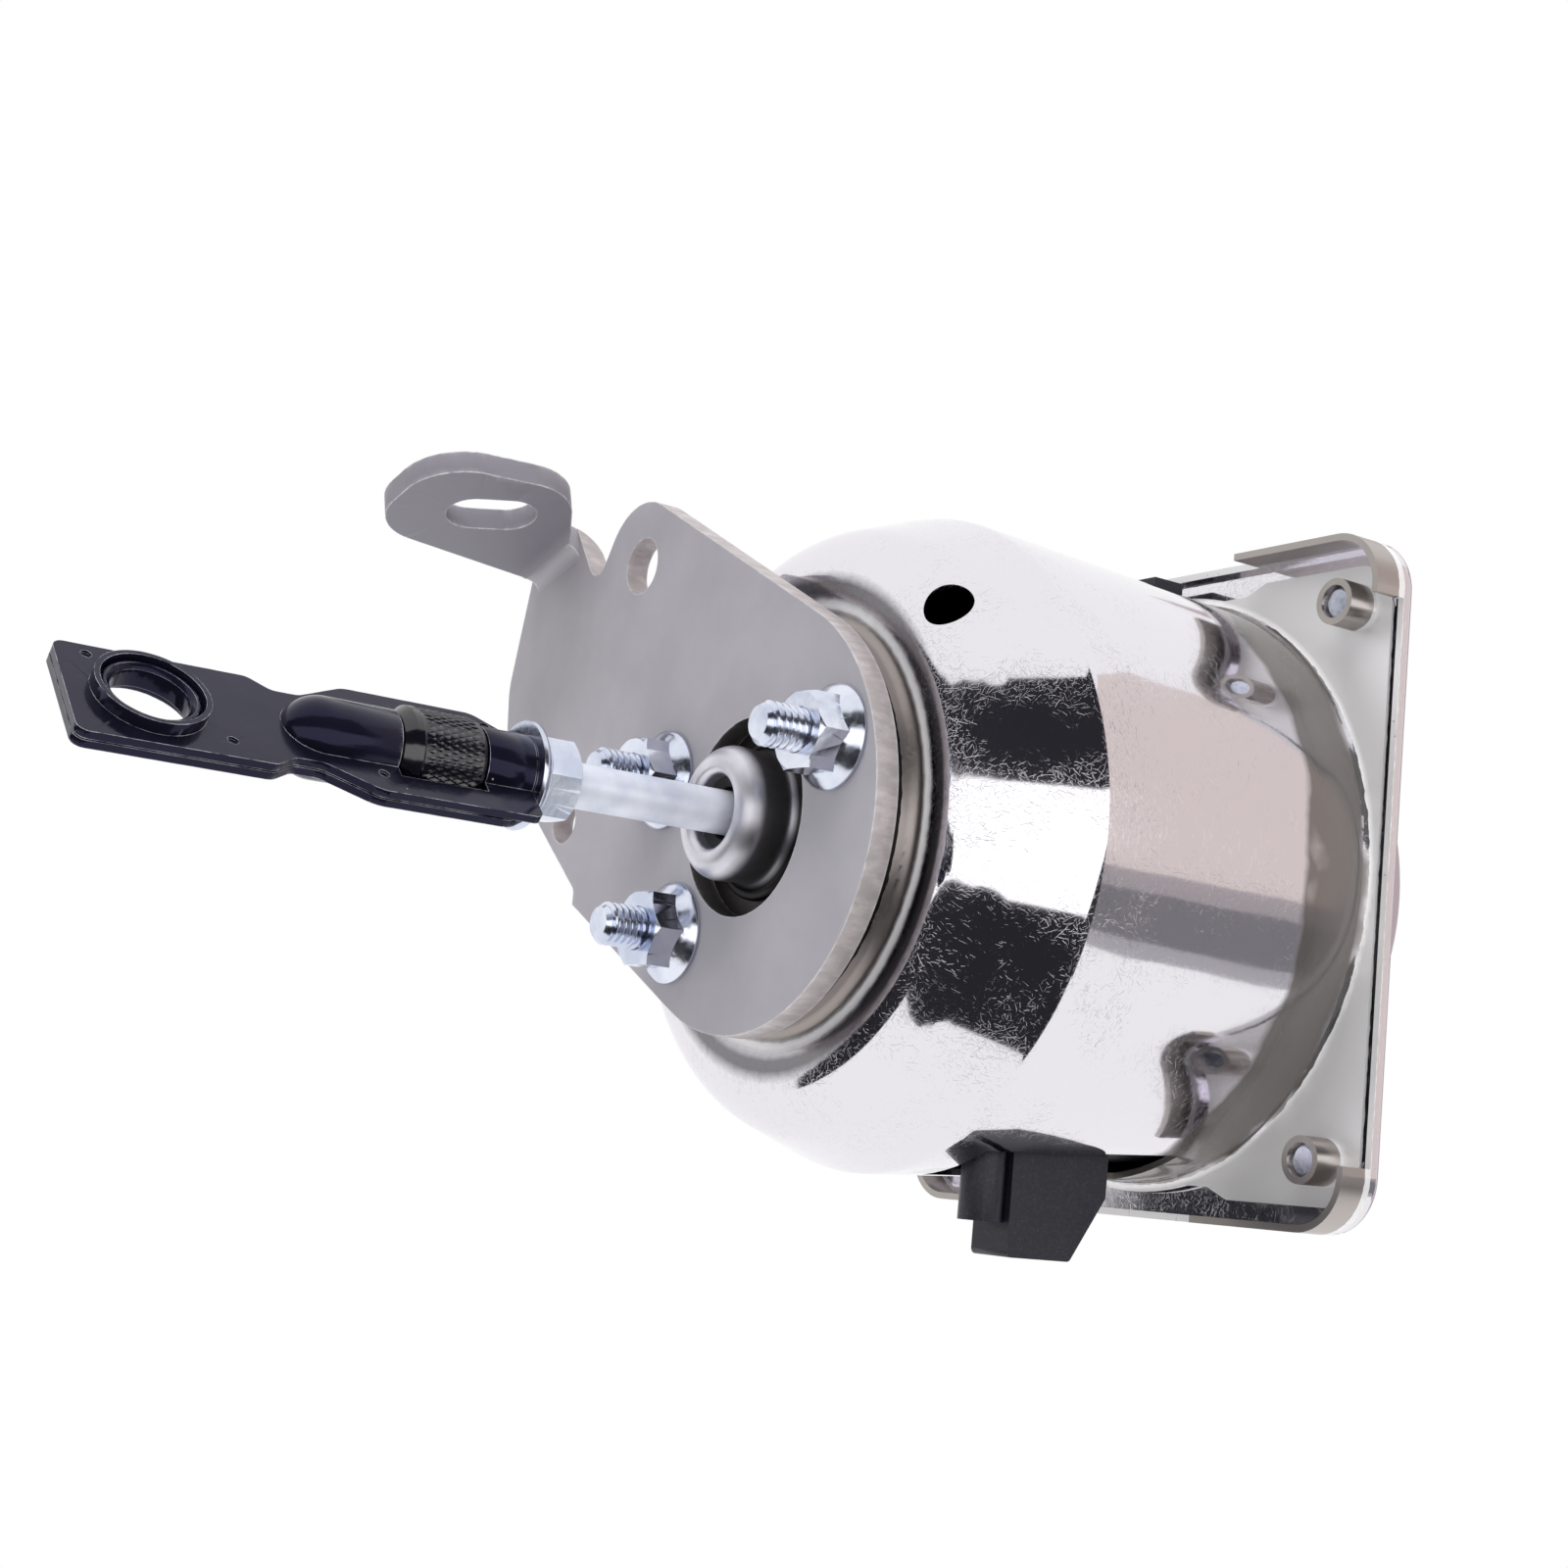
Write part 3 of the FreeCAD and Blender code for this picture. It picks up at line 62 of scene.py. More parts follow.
# ---- camera ----
cameraView = {
    "place": (-0.1965, -0.2932, -0.0471),
    "forward": (0.5536, 0.8154, 0.1459),
    "up": (-0.1576, -0.0679, 0.9850),
    "focalPixels": 2696.8,
    "imagePixels": 1600,
}
forward = Vector(cameraView["forward"]).normalized()
upward = Vector(cameraView["up"])
upward = (upward - forward * upward.dot(forward)).normalized()
rightward = forward.cross(upward)
turnMatrix = Matrix((rightward, upward, -forward)).transposed().to_4x4()
cameraData = bpy.data.cameras.new("camera")
cameraData.sensor_fit = "HORIZONTAL"
cameraData.angle = 2 * math.atan(cameraView["imagePixels"] / 2 / cameraView["focalPixels"])
cameraData.clip_start = 0.01
camera = bpy.data.objects.new("camera", cameraData)
camera.matrix_world = Matrix.Translation(cameraView["place"]) @ turnMatrix
bpy.context.scene.collection.objects.link(camera)
bpy.context.scene.camera = camera
bpy.context.scene.view_settings.view_transform = "Standard"


# ---- small helpers ----
def linearColour(hexText):
    # sRGB hex to the linear values that the sockets take
    parts = [int(hexText[i:i + 2], 16) / 255 for i in (1, 3, 5)]
    linear = [c / 12.92 if c <= 0.04045 else ((c + 0.055) / 1.055) ** 2.4 for c in parts]
    return (*linear, 1.0)


def addNode(tree, kind, links=None, **settings):
    # links: socket name or number to a value or to another node's output
    node = tree.nodes.new(kind)
    for name, value in settings.items():
        setattr(node, name, value)
    for socket, value in (links or {}).items():
        if isinstance(value, bpy.types.Node):
            value = value.outputs[0]
        if isinstance(value, bpy.types.NodeSocket):
            tree.links.new(value, node.inputs[socket])
        else:
            node.inputs[socket].default_value = value
    return node


def newMaterial(name):
    material = bpy.data.materials.new(name)
    material.use_nodes = True
    material.node_tree.nodes.clear()
    return material, material.node_tree


def closeMaterial(material, shader):
    output = material.node_tree.nodes.new("ShaderNodeOutputMaterial")
    material.node_tree.links.new(shader.outputs[0], output.inputs["Surface"])
    return material


def setMaterial(thing, material):
    thing.data.materials.clear()
    thing.data.materials.append(material)


def addObject(name, mesh):
    thing = bpy.data.objects.new(name, mesh)
    bpy.context.scene.collection.objects.link(thing)
    return thing


def smoothed(thing, degrees):
    thing.data.shade_smooth()
    thing.data.set_sharp_from_angle(angle=math.radians(degrees))
    return thing


# ---- light: a white tent, with dark and coloured boards that only polished metal sees ----
tentMiddle = Vector((0.03, 0, 0))


def fromAngles(azimuth, elevation, distance):
    # azimuth 0 looks from -Y, -90 from -X
    a, e = math.radians(azimuth), math.radians(elevation)
    way = Vector((math.sin(a) * math.cos(e), -math.cos(a) * math.cos(e), math.sin(e)))
    return tentMiddle + way * distance


lampSizes = {
    "keyLamp": {"azimuth": -70, "elevation": 60, "distance": 1.2, "size": 0.9, "watts": 9.0},
    "fillLamp": {"azimuth": 20, "elevation": 35, "distance": 1.4, "size": 1.0, "watts": 5.0},
    "backLamp": {"azimuth": 150, "elevation": 45, "distance": 1.3, "size": 0.9, "watts": 6.0},
}
for lampName, value in lampSizes.items():
    lampData = bpy.data.lights.new(lampName, "AREA")
    lampData.energy = value["watts"]
    lampData.shape = "SQUARE"
    lampData.size = value["size"]
    lamp = bpy.data.objects.new(lampName, lampData)
    lampPlace = fromAngles(value["azimuth"], value["elevation"], value["distance"])
    aim = (tentMiddle - lampPlace).to_track_quat("-Z", "Y").to_matrix().to_4x4()
    lamp.matrix_world = Matrix.Translation(lampPlace) @ aim
    lamp.visible_glossy = False
    bpy.context.scene.collection.objects.link(lamp)

# the tent is white to the eye and dimmer as a lamp, so that pale surfaces don't clip
tentLook = {"colour": "#FFFFFF", "seen": 1.0, "light": 0.62}
world = bpy.data.worlds.new("tent")
bpy.context.scene.world = world
world.use_nodes = True
tree = world.node_tree
tree.nodes.clear()
rays = addNode(tree, "ShaderNodeLightPath")
seen = addNode(tree, "ShaderNodeMath", {0: rays.outputs["Is Camera Ray"],
                                        1: rays.outputs["Is Glossy Ray"]}, operation="MAXIMUM")
seen = addNode(tree, "ShaderNodeMath", {0: seen, 1: rays.outputs["Is Transmission Ray"]},
               operation="MAXIMUM")
dim = addNode(tree, "ShaderNodeBackground", {
    "Color": linearColour(tentLook["colour"]), "Strength": tentLook["light"]})
plain = addNode(tree, "ShaderNodeBackground", {
    "Color": linearColour(tentLook["colour"]), "Strength": tentLook["seen"]})
mixed = addNode(tree, "ShaderNodeMixShader", {0: seen, 1: dim, 2: plain})
addNode(tree, "ShaderNodeOutputWorld", {"Surface": mixed})

# each board's outline: azimuth, lowest and highest elevation, so that the dark patches on the
# can's shoulder keep their height where the shoulder turns to the front
boards = {
    "darkAbove": {"colour": "#2B2B30", "strength": 1.0, "distance": 0.90, "outline": (
        (-140, 9.5, 15), (-109, 11, 24), (-90, 13, 33), (-60, 15, 43), (-5, 17, 52), (40, 17, 52))},
    "darkBelow": {"colour": "#29292D", "strength": 1.0, "distance": 0.90, "outline": (
        (-140, -19, 3), (-109, -18, 0), (-95, -34, -3), (-80, -48, -7), (-60, -57, -12),
        (-5, -64, -20), (36, -64, -20))},
    "brightBand": {"colour": "#FFFFFF", "strength": 1.5, "distance": 0.92, "outline": (
        (-138, 3, 9), (-109, 0, 11), (-90, -4, 13), (-60, -12, 15), (-5, -20, 17), (40, -20, 17))},
    "ridgeDark": {"colour": "#353438", "strength": 1.0, "distance": 0.88, "outline": (
        (20, -34, -19), (31, -34, -6), (40, -34, 3))},
    "warmBoard": {"colour": "#E3D7D2", "strength": 1.0, "distance": 0.90, "outline": (
        (40, -2, 44), (72, -2, 44))},
    "greyTop": {"colour": "#ABA5A6", "strength": 1.0, "distance": 0.90, "outline": (
        (40, -7, -2), (72, -7, -2))},
    "greyBoard": {"colour": "#807E82", "strength": 1.0, "distance": 0.90, "outline": (
        (40, -19, -7), (72, -19, -7))},
    "greyFoot": {"colour": "#B2B0B4", "strength": 1.0, "distance": 0.90, "outline": (
        (40, -23, -19), (72, -23, -19))},
    "pinkBoard": {"colour": "#BEB0B3", "strength": 1.0, "distance": 0.90, "outline": (
        (78, -25, 35), (125, -25, 35))},
}
boardSteps = 10
for boardName, value in boards.items():
    stations = [value["outline"][0]]
    for here, there in zip(value["outline"], value["outline"][1:]):
        stations += [[p + (q - p) * i / boardSteps for p, q in zip(here, there)]
                     for i in range(1, boardSteps + 1)]
    points = [fromAngles(a, low + (high - low) * j / boardSteps, value["distance"])
              for a, low, high in stations for j in range(boardSteps + 1)]
    row = boardSteps + 1
    faces = [(i * row + j, i * row + j + 1, (i + 1) * row + j + 1, (i + 1) * row + j)
             for i in range(len(stations) - 1) for j in range(boardSteps)]
    mesh = bpy.data.meshes.new(boardName)
    mesh.from_pydata(points, [], faces)
    board = addObject(boardName, mesh)
    material, tree = newMaterial(boardName)
    glow = addNode(tree, "ShaderNodeEmission", {"Color": linearColour(value["colour"]),
                                                "Strength": value["strength"]})
    setMaterial(board, closeMaterial(material, glow))
    board.visible_camera = False
    board.visible_diffuse = False
    board.visible_shadow = False
    board.visible_transmission = False

# a pale table that keeps the object's shadow and runs out into the white background
floorLook = {"half": 9, "height": -0.19, "colour": "#F2F2F2", "glow": "#FFFFFF", "strength": 1.0,
             "near": 0.2, "far": 0.6, "nearShare": 0.9}
h = floorLook["half"]
floorMesh = bpy.data.meshes.new("floor")
floorMesh.from_pydata([(-h, -h, 0), (h, -h, 0), (h, h, 0), (-h, h, 0)], [], [(0, 1, 2, 3)])
floor = addObject("floor", floorMesh)
floor.location.z = floorLook["height"]
floor.visible_glossy = False
material, tree = newMaterial("whiteTable")
rays = addNode(tree, "ShaderNodeLightPath")
place = addNode(tree, "ShaderNodeTexCoord")
away = addNode(tree, "ShaderNodeVectorMath", {0: place.outputs["Object"]}, operation="LENGTH")
share = addNode(tree, "ShaderNodeMapRange", {
    "Value": away.outputs["Value"], "From Min": floorLook["near"], "From Max": floorLook["far"],
    "To Min": floorLook["nearShare"], "To Max": 1.0})
share = addNode(tree, "ShaderNodeMath", {0: rays.outputs["Is Camera Ray"], 1: share},
                operation="MULTIPLY")
matt = addNode(tree, "ShaderNodeBsdfDiffuse", {"Color": linearColour(floorLook["colour"])})
glow = addNode(tree, "ShaderNodeEmission", {
    "Color": linearColour(floorLook["glow"]), "Strength": floorLook["strength"]})
mixed = addNode(tree, "ShaderNodeMixShader", {0: share, 1: matt, 2: glow})
setMaterial(floor, closeMaterial(material, mixed))
print("camera, lamps, boards and table set")


# ---- polishedNickelSteel: near-mirror drawn steel under short random handling scratches, with painted shade and painted reflections in zones by the boss and the flange ----
nickelLook = {
    "colour": "#E9E6EC", "roughness": 0.05, "haze": 0.085, "scratchRoughness": 0.42,
    "scratchColour": "#D8D6DC", "scratchDepth": 0.02, "wallRadius": 43.0, "faceNormal": 0.82,
    "swaySize": 3.0, "sway": 0.35, "patchSize": 9.0, "hazeSize": 14.0,
    "swellSize": 26.0, "swellHeight": 0.22, "peelSize": 2.2, "peelHeight": 0.004,
    # the shoulder took most of the handling: behind these places the marks thin out
    "thinPlaces": (24, 36), "thinShare": 0.4,
    # cell of the pattern, longest mark, half width and share of the cells that hold one
    "layers": (
        {"cell": 0.5, "length": 0.62, "width": 0.028, "share": 0.8, "shift": 3.1, "swap": 0.9},
        {"cell": 0.8, "length": 1.0, "width": 0.030, "share": 0.8, "shift": 11.7, "swap": 2.3},
        {"cell": 1.3, "length": 1.6, "width": 0.032, "share": 0.7, "shift": 27.3, "swap": 4.1},
        {"cell": 2.3, "length": 2.6, "width": 0.034, "share": 0.5, "shift": 35.3, "swap": 7.7},
        {"cell": 14.0, "length": 12.0, "width": 0.05, "share": 0.35, "shift": 43.9, "swap": 5.2},
    ),
    # places where the can's colour changes, most of them painted shade and painted reflections, a
    # few real dull finishes:
    # distance from the axis, place along it, how far their edges fade out and wander
    "dullAndPaintedLightZones": (
        # front face inside the bracket's bore: painted shade of the recess, with a dull gloss
        {"radii": (0, 27.0), "places": (-1, 0.4), "colour": "#4A4746", "roughness": 0.45,
         "metallic": 1.0},
        # the corner behind the plate: painted shade in the gap between plate and can
        {"radii": (26.0, 30.0), "places": (-1, 1.8), "colour": "#2A2726", "roughness": 0.5,
         "metallic": 1.0},
        # the boss's side and foot: painted reflection of the bracket's back, a brown-grey band
        {"radii": (26.0, 29.7), "places": (1.8, 4.8), "colour": "#A39B98", "roughness": 0.36,
         "metallic": 1.0},
        # round the foot: painted highlight, a near-white ring
        {"radii": (29.6, 31.2), "places": (3.0, 4.8), "colour": "#FAF9FB", "roughness": 0.42,
         "metallic": 0.4, "fade": 0.4},
        # the moat: polished, its mid-grey colour a painted reflection
        {"radii": (31.2, 34.3), "places": (2.5, 6.6), "colour": "#858286", "roughness": 0.17,
         "metallic": 1.0, "fade": 0.9},
        # the wall's end by the flange: painted reflection, a dark crescent in two steps
        {"radii": (40.0, 45.0), "places": (58.6, 69.8), "colour": "#837E7C", "roughness": 0.13,
         "metallic": 0.72, "fade": 0.7, "wander": 1.3},
        {"radii": (40.0, 45.0), "places": (63.0, 69.8), "colour": "#787371", "roughness": 0.16,
         "metallic": 0.65, "fade": 1.8, "wander": 1.3},
        # the flange's face: satin, its pale colour a painted reflection
        {"radii": (43.6, 70.0), "places": (69.8, 70.9), "colour": "#F0EFF0", "roughness": 0.36,
         "metallic": 0.4},
        # collars and the cover's lips: drawn and plated, never polished
        {"radii": (46.6, 70.0), "places": (60.0, 69.8), "colour": "#BCB5B1", "roughness": 0.32,
         "metallic": 1.0},
    ),
    # what the zones' edges fade and wander by unless they say so; one wave is 1.7 or 11 mm long
    "fade": 0.02, "wander": 0.12, "waves": (1.7, 11.0),
}
nickel, tree = newMaterial("polishedNickelSteel")
where = addNode(tree, "ShaderNodeTexCoord").outputs["Object"]
parts = addNode(tree, "ShaderNodeSeparateXYZ", {0: where})
turn = addNode(tree, "ShaderNodeMath", {0: parts.outputs["Y"], 1: parts.outputs["Z"]},
               operation="ARCTAN2")
around = addNode(tree, "ShaderNodeMath", {0: turn, 1: nickelLook["wallRadius"] * mm},
                 operation="MULTIPLY")
onWall = addNode(tree, "ShaderNodeCombineXYZ", {"X": parts.outputs["X"], "Y": around})
onFace = addNode(tree, "ShaderNodeCombineXYZ", {"X": parts.outputs["Y"], "Y": parts.outputs["Z"]})
facing = addNode(tree, "ShaderNodeSeparateXYZ",
                 {0: addNode(tree, "ShaderNodeNewGeometry").outputs["Normal"]})
facing = addNode(tree, "ShaderNodeMath", {0: facing.outputs["X"]}, operation="ABSOLUTE")
facing = addNode(tree, "ShaderNodeMath", {0: facing, 1: nickelLook["faceNormal"]},
                 operation="GREATER_THAN")
flat = addNode(tree, "ShaderNodeMix", {"Factor": facing, 4: onWall, 5: onFace}, data_type="VECTOR")
# lines bend a little: a slow sway over 3 mm
sway = addNode(tree, "ShaderNodeTexNoise", {
    "Vector": where, "Scale": 1000 / nickelLook["swaySize"], "Detail": 1.0})
sway = addNode(tree, "ShaderNodeVectorMath", {0: sway.outputs["Color"], 1: (0.5, 0.5, 0.5)},
               operation="SUBTRACT")
sway = addNode(tree, "ShaderNodeVectorMath", {0: sway, "Scale": nickelLook["sway"] * mm},
               operation="SCALE")
flat = addNode(tree, "ShaderNodeVectorMath", {0: flat.outputs[1], 1: sway}, operation="ADD")
marks = None
for value in nickelLook["layers"]:
    shifted = addNode(tree, "ShaderNodeVectorMath",
                      {0: flat, 1: (value["shift"] * mm, value["swap"] * mm, 0)}, operation="ADD")
    cells = addNode(tree, "ShaderNodeTexVoronoi", {
        "Vector": shifted, "Scale": 1000 / value["cell"]}, voronoi_dimensions="2D")
    chance = addNode(tree, "ShaderNodeSeparateColor", {0: cells.outputs["Color"]})
    spun = addNode(tree, "ShaderNodeVectorMath", {0: shifted, 1: cells.outputs["Position"]},
                   operation="SUBTRACT")
    spin = addNode(tree, "ShaderNodeMath", {0: chance.outputs[0], 1: 2 * math.pi},
                   operation="MULTIPLY")
    spun = addNode(tree, "ShaderNodeVectorRotate", {"Vector": spun, "Angle": spin},
                   rotation_type="Z_AXIS")
    spun = addNode(tree, "ShaderNodeSeparateXYZ", {0: spun})
    run = addNode(tree, "ShaderNodeMath", {0: spun.outputs["X"]}, operation="ABSOLUTE")
    run = addNode(tree, "ShaderNodeMapRange", {
        "Value": run, "From Min": 0.3 * value["length"] * mm,
        "From Max": 0.5 * value["length"] * mm, "To Min": 1.0, "To Max": 0.0})
    line = addNode(tree, "ShaderNodeMath", {0: spun.outputs["Y"]}, operation="ABSOLUTE")
    line = addNode(tree, "ShaderNodeMapRange", {
        "Value": line, "From Min": 0.3 * value["width"] * mm, "From Max": value["width"] * mm,
        "To Min": 1.0, "To Max": 0.0})
    mark = addNode(tree, "ShaderNodeMath", {0: line, 1: run}, operation="MULTIPLY")
    picked = addNode(tree, "ShaderNodeMath", {0: chance.outputs[1], 1: value["share"]},
                     operation="LESS_THAN")
    mark = addNode(tree, "ShaderNodeMath", {0: mark, 1: picked}, operation="MULTIPLY")
    # most marks are faint and a few are deep
    deep = addNode(tree, "ShaderNodeMath", {0: chance.outputs[2], 1: 2.2}, operation="POWER")
    deep = addNode(tree, "ShaderNodeMapRange", {"Value": deep, "To Min": 0.2})
    mark = addNode(tree, "ShaderNodeMath", {0: mark, 1: deep}, operation="MULTIPLY")
    marks = mark if marks is None else addNode(tree, "ShaderNodeMath", {0: marks, 1: mark},
                                               operation="MAXIMUM")
thin = addNode(tree, "ShaderNodeMapRange", {
    "Value": parts.outputs["X"], "From Min": nickelLook["thinPlaces"][0] * mm,
    "From Max": nickelLook["thinPlaces"][1] * mm, "To Min": 1.0, "To Max": nickelLook["thinShare"]})
# marks crowd together in some patches, 9 mm apart, and leave smooth ones between
patches = addNode(tree, "ShaderNodeTexNoise", {
    "Vector": where, "Scale": 1000 / nickelLook["patchSize"], "Detail": 3.0})
patches = addNode(tree, "ShaderNodeMapRange", {
    "Value": patches, "From Min": 0.4, "From Max": 0.62, "To Min": 0.16, "To Max": 1.0})
marks = addNode(tree, "ShaderNodeMath", {0: marks, 1: thin}, operation="MULTIPLY")
marks = addNode(tree, "ShaderNodeMath", {0: marks, 1: patches}, operation="MULTIPLY")
haze = addNode(tree, "ShaderNodeTexNoise", {
    "Vector": where, "Scale": 1000 / nickelLook["hazeSize"], "Detail": 5.0, "Roughness": 0.6})
haze = addNode(tree, "ShaderNodeMapRange", {
    "Value": haze, "From Min": 0.35, "From Max": 0.7,
    "To Min": nickelLook["roughness"], "To Max": nickelLook["haze"]})
gloss = addNode(tree, "ShaderNodeMath", {0: marks, 1: nickelLook["scratchRoughness"], 2: haze},
                operation="MULTIPLY_ADD")
# drawn steel isn't quite true: a swell over 26 mm bends the reflections
swell = addNode(tree, "ShaderNodeTexNoise", {
    "Vector": where, "Scale": 1000 / nickelLook["swellSize"], "Detail": 1.0})
relief = addNode(tree, "ShaderNodeBump", {
    "Height": swell, "Distance": nickelLook["swellHeight"] * mm, "Strength": 1.0})
peel = addNode(tree, "ShaderNodeTexNoise", {
    "Vector": where, "Scale": 1000 / nickelLook["peelSize"], "Detail": 2.0})
relief = addNode(tree, "ShaderNodeBump", {
    "Height": peel, "Distance": nickelLook["peelHeight"] * mm, "Strength": 1.0,
    "Normal": relief})
relief = addNode(tree, "ShaderNodeBump", {
    "Height": marks, "Distance": nickelLook["scratchDepth"] * mm, "Strength": 0.7,
    "Normal": relief}, invert=True)
tint = addNode(tree, "ShaderNodeMix", {"Factor": marks, 6: linearColour(nickelLook["colour"]),
                                       7: linearColour(nickelLook["scratchColour"])},
               data_type="RGBA")
radial = addNode(tree, "ShaderNodeVectorMath", {0: where, 1: (0, 1, 1)}, operation="MULTIPLY")
radial = addNode(tree, "ShaderNodeVectorMath", {0: radial}, operation="LENGTH").outputs["Value"]
ragged = addNode(tree, "ShaderNodeTexNoise", {
    "Vector": where, "Scale": 1000 / nickelLook["waves"][0], "Detail": 3.0})
wavy = addNode(tree, "ShaderNodeTexNoise", {
    "Vector": where, "Scale": 1000 / nickelLook["waves"][1], "Detail": 3.0})
metal = 1.0
# each zone paints its colour over the steel: painted shade, painted reflections and dull finishes
for value in nickelLook["dullAndPaintedLightZones"]:
    zone = None
    fade = value.get("fade", nickelLook["fade"]) * mm
    wander = value.get("wander", nickelLook["wander"]) * mm
    shift = addNode(tree, "ShaderNodeMapRange", {
        "Value": wavy if "wander" in value else ragged, "From Min": 0.25, "From Max": 0.75,
        "To Min": -wander, "To Max": wander})
    for socket, (start, end) in ((radial, value["radii"]), (parts.outputs["X"], value["places"])):
        away = addNode(tree, "ShaderNodeMath", {0: socket, 1: shift}, operation="ADD")
        away = addNode(tree, "ShaderNodeMath", {0: away, 1: (start + end) / 2 * mm},
                       operation="SUBTRACT")
        away = addNode(tree, "ShaderNodeMath", {0: away}, operation="ABSOLUTE")
        inside = addNode(tree, "ShaderNodeMapRange", {
            "Value": away, "From Min": (end - start) / 2 * mm + fade,
            "From Max": (end - start) / 2 * mm - fade})
        zone = inside if zone is None else addNode(tree, "ShaderNodeMath", {0: zone, 1: inside},
                                                   operation="MULTIPLY")
    tint = addNode(tree, "ShaderNodeMix", {"Factor": zone, 6: tint.outputs[2],
                                           7: linearColour(value["colour"])}, data_type="RGBA")
    metal = addNode(tree, "ShaderNodeMath", {0: zone, 1: value["metallic"] - 1.0, 2: metal},
                    operation="MULTIPLY_ADD")
    dull = addNode(tree, "ShaderNodeMath", {0: zone, 1: value["roughness"]}, operation="MULTIPLY")
    gloss = addNode(tree, "ShaderNodeMath", {0: gloss, 1: dull}, operation="MAXIMUM")
shader = addNode(tree, "ShaderNodeBsdfPrincipled", {
    "Base Color": tint.outputs[2], "Metallic": metal, "Roughness": gloss, "Normal": relief})
closeMaterial(nickel, shader)

# ---- zincPlatedSteel: bright blue-white zinc with a fine crystalline mottle ----
zincLook = {"light": "#E8ECF8", "dark": "#CCD3E6", "grain": 0.7, "grainHeight": 0.006,
            "cloud": 7.0, "cloudHeight": 0.04}
zinc, tree = newMaterial("zincPlatedSteel")
where = addNode(tree, "ShaderNodeTexCoord").outputs["Object"]
grain = addNode(tree, "ShaderNodeTexNoise", {
    "Vector": where, "Scale": 1000 / zincLook["grain"], "Detail": 3.0, "Roughness": 0.6})
cloud = addNode(tree, "ShaderNodeTexNoise", {
    "Vector": where, "Scale": 1000 / zincLook["cloud"], "Detail": 3.0})
tintShare = addNode(tree, "ShaderNodeMapRange", {
    "Value": cloud, "From Min": 0.38, "From Max": 0.62})
tint = addNode(tree, "ShaderNodeMix", {"Factor": tintShare, 6: linearColour(zincLook["light"]),
                                       7: linearColour(zincLook["dark"])}, data_type="RGBA")
gloss = addNode(tree, "ShaderNodeMapRange", {
    "Value": grain, "From Min": 0.35, "From Max": 0.65, "To Min": 0.15, "To Max": 0.24})
relief = addNode(tree, "ShaderNodeBump", {
    "Height": grain, "Distance": zincLook["grainHeight"] * mm, "Strength": 1.0})
relief = addNode(tree, "ShaderNodeBump", {
    "Height": cloud, "Distance": zincLook["cloudHeight"] * mm, "Strength": 1.0,
    "Normal": relief})
shader = addNode(tree, "ShaderNodeBsdfPrincipled", {
    "Base Color": tint.outputs[2], "Metallic": 1.0, "Roughness": gloss, "Normal": relief})
closeMaterial(zinc, shader)

# ---- zincPlatedGroundBar: the same zinc on ground bar, duller, with faint grinding rings ----
rodLook = {"light": "#E9ECF6", "dark": "#CDD2E2", "cloud": 7.0, "ringPitch": 0.35,
           "ringHeight": 0.002, "metallic": 0.28}
rodZinc, tree = newMaterial("zincPlatedGroundBar")
where = addNode(tree, "ShaderNodeTexCoord").outputs["Object"]
# a wave texture runs twenty times as fast as its scale says
rings = addNode(tree, "ShaderNodeTexWave", {
    "Vector": where, "Scale": 1000 / rodLook["ringPitch"] / 20, "Distortion": 1.5, "Detail": 3.0,
    "Detail Scale": 6.0}, wave_type="BANDS", bands_direction="X")
cloud = addNode(tree, "ShaderNodeTexNoise", {
    "Vector": where, "Scale": 1000 / rodLook["cloud"], "Detail": 4.0})
tintShare = addNode(tree, "ShaderNodeMapRange", {
    "Value": cloud, "From Min": 0.38, "From Max": 0.65})
tint = addNode(tree, "ShaderNodeMix", {"Factor": tintShare, 6: linearColour(rodLook["light"]),
                                       7: linearColour(rodLook["dark"])}, data_type="RGBA")
gloss = addNode(tree, "ShaderNodeMapRange", {"Value": cloud, "To Min": 0.38, "To Max": 0.46})
relief = addNode(tree, "ShaderNodeBump", {
    "Height": rings.outputs["Fac"], "Distance": rodLook["ringHeight"] * mm, "Strength": 0.6})
shader = addNode(tree, "ShaderNodeBsdfPrincipled", {
    "Base Color": tint.outputs[2], "Metallic": rodLook["metallic"], "Roughness": gloss,
    "Normal": relief})
closeMaterial(rodZinc, shader)

# ---- satinRolledSteel: light grey rolled steel with a soft sheen, painted shade at its foot ----
satinLook = {"light": "#E6E4EC", "dark": "#CFCDD5", "cloud": 6.0, "grain": 0.25,
             "grainHeight": 0.003, "shade": "#2E2D2E", "shadeRadius": 8.4, "shadeRun": 1.2}
satin, tree = newMaterial("satinRolledSteel")
where = addNode(tree, "ShaderNodeTexCoord").outputs["Object"]
grain = addNode(tree, "ShaderNodeTexNoise", {
    "Vector": where, "Scale": 1000 / satinLook["grain"], "Detail": 2.0})
cloud = addNode(tree, "ShaderNodeTexNoise", {
    "Vector": where, "Scale": 1000 / satinLook["cloud"], "Detail": 4.0})
tintShare = addNode(tree, "ShaderNodeMapRange", {"Value": cloud, "From Min": 0.35, "From Max": 0.7})
tint = addNode(tree, "ShaderNodeMix", {"Factor": tintShare, 6: linearColour(satinLook["light"]),
                                       7: linearColour(satinLook["dark"])}, data_type="RGBA")
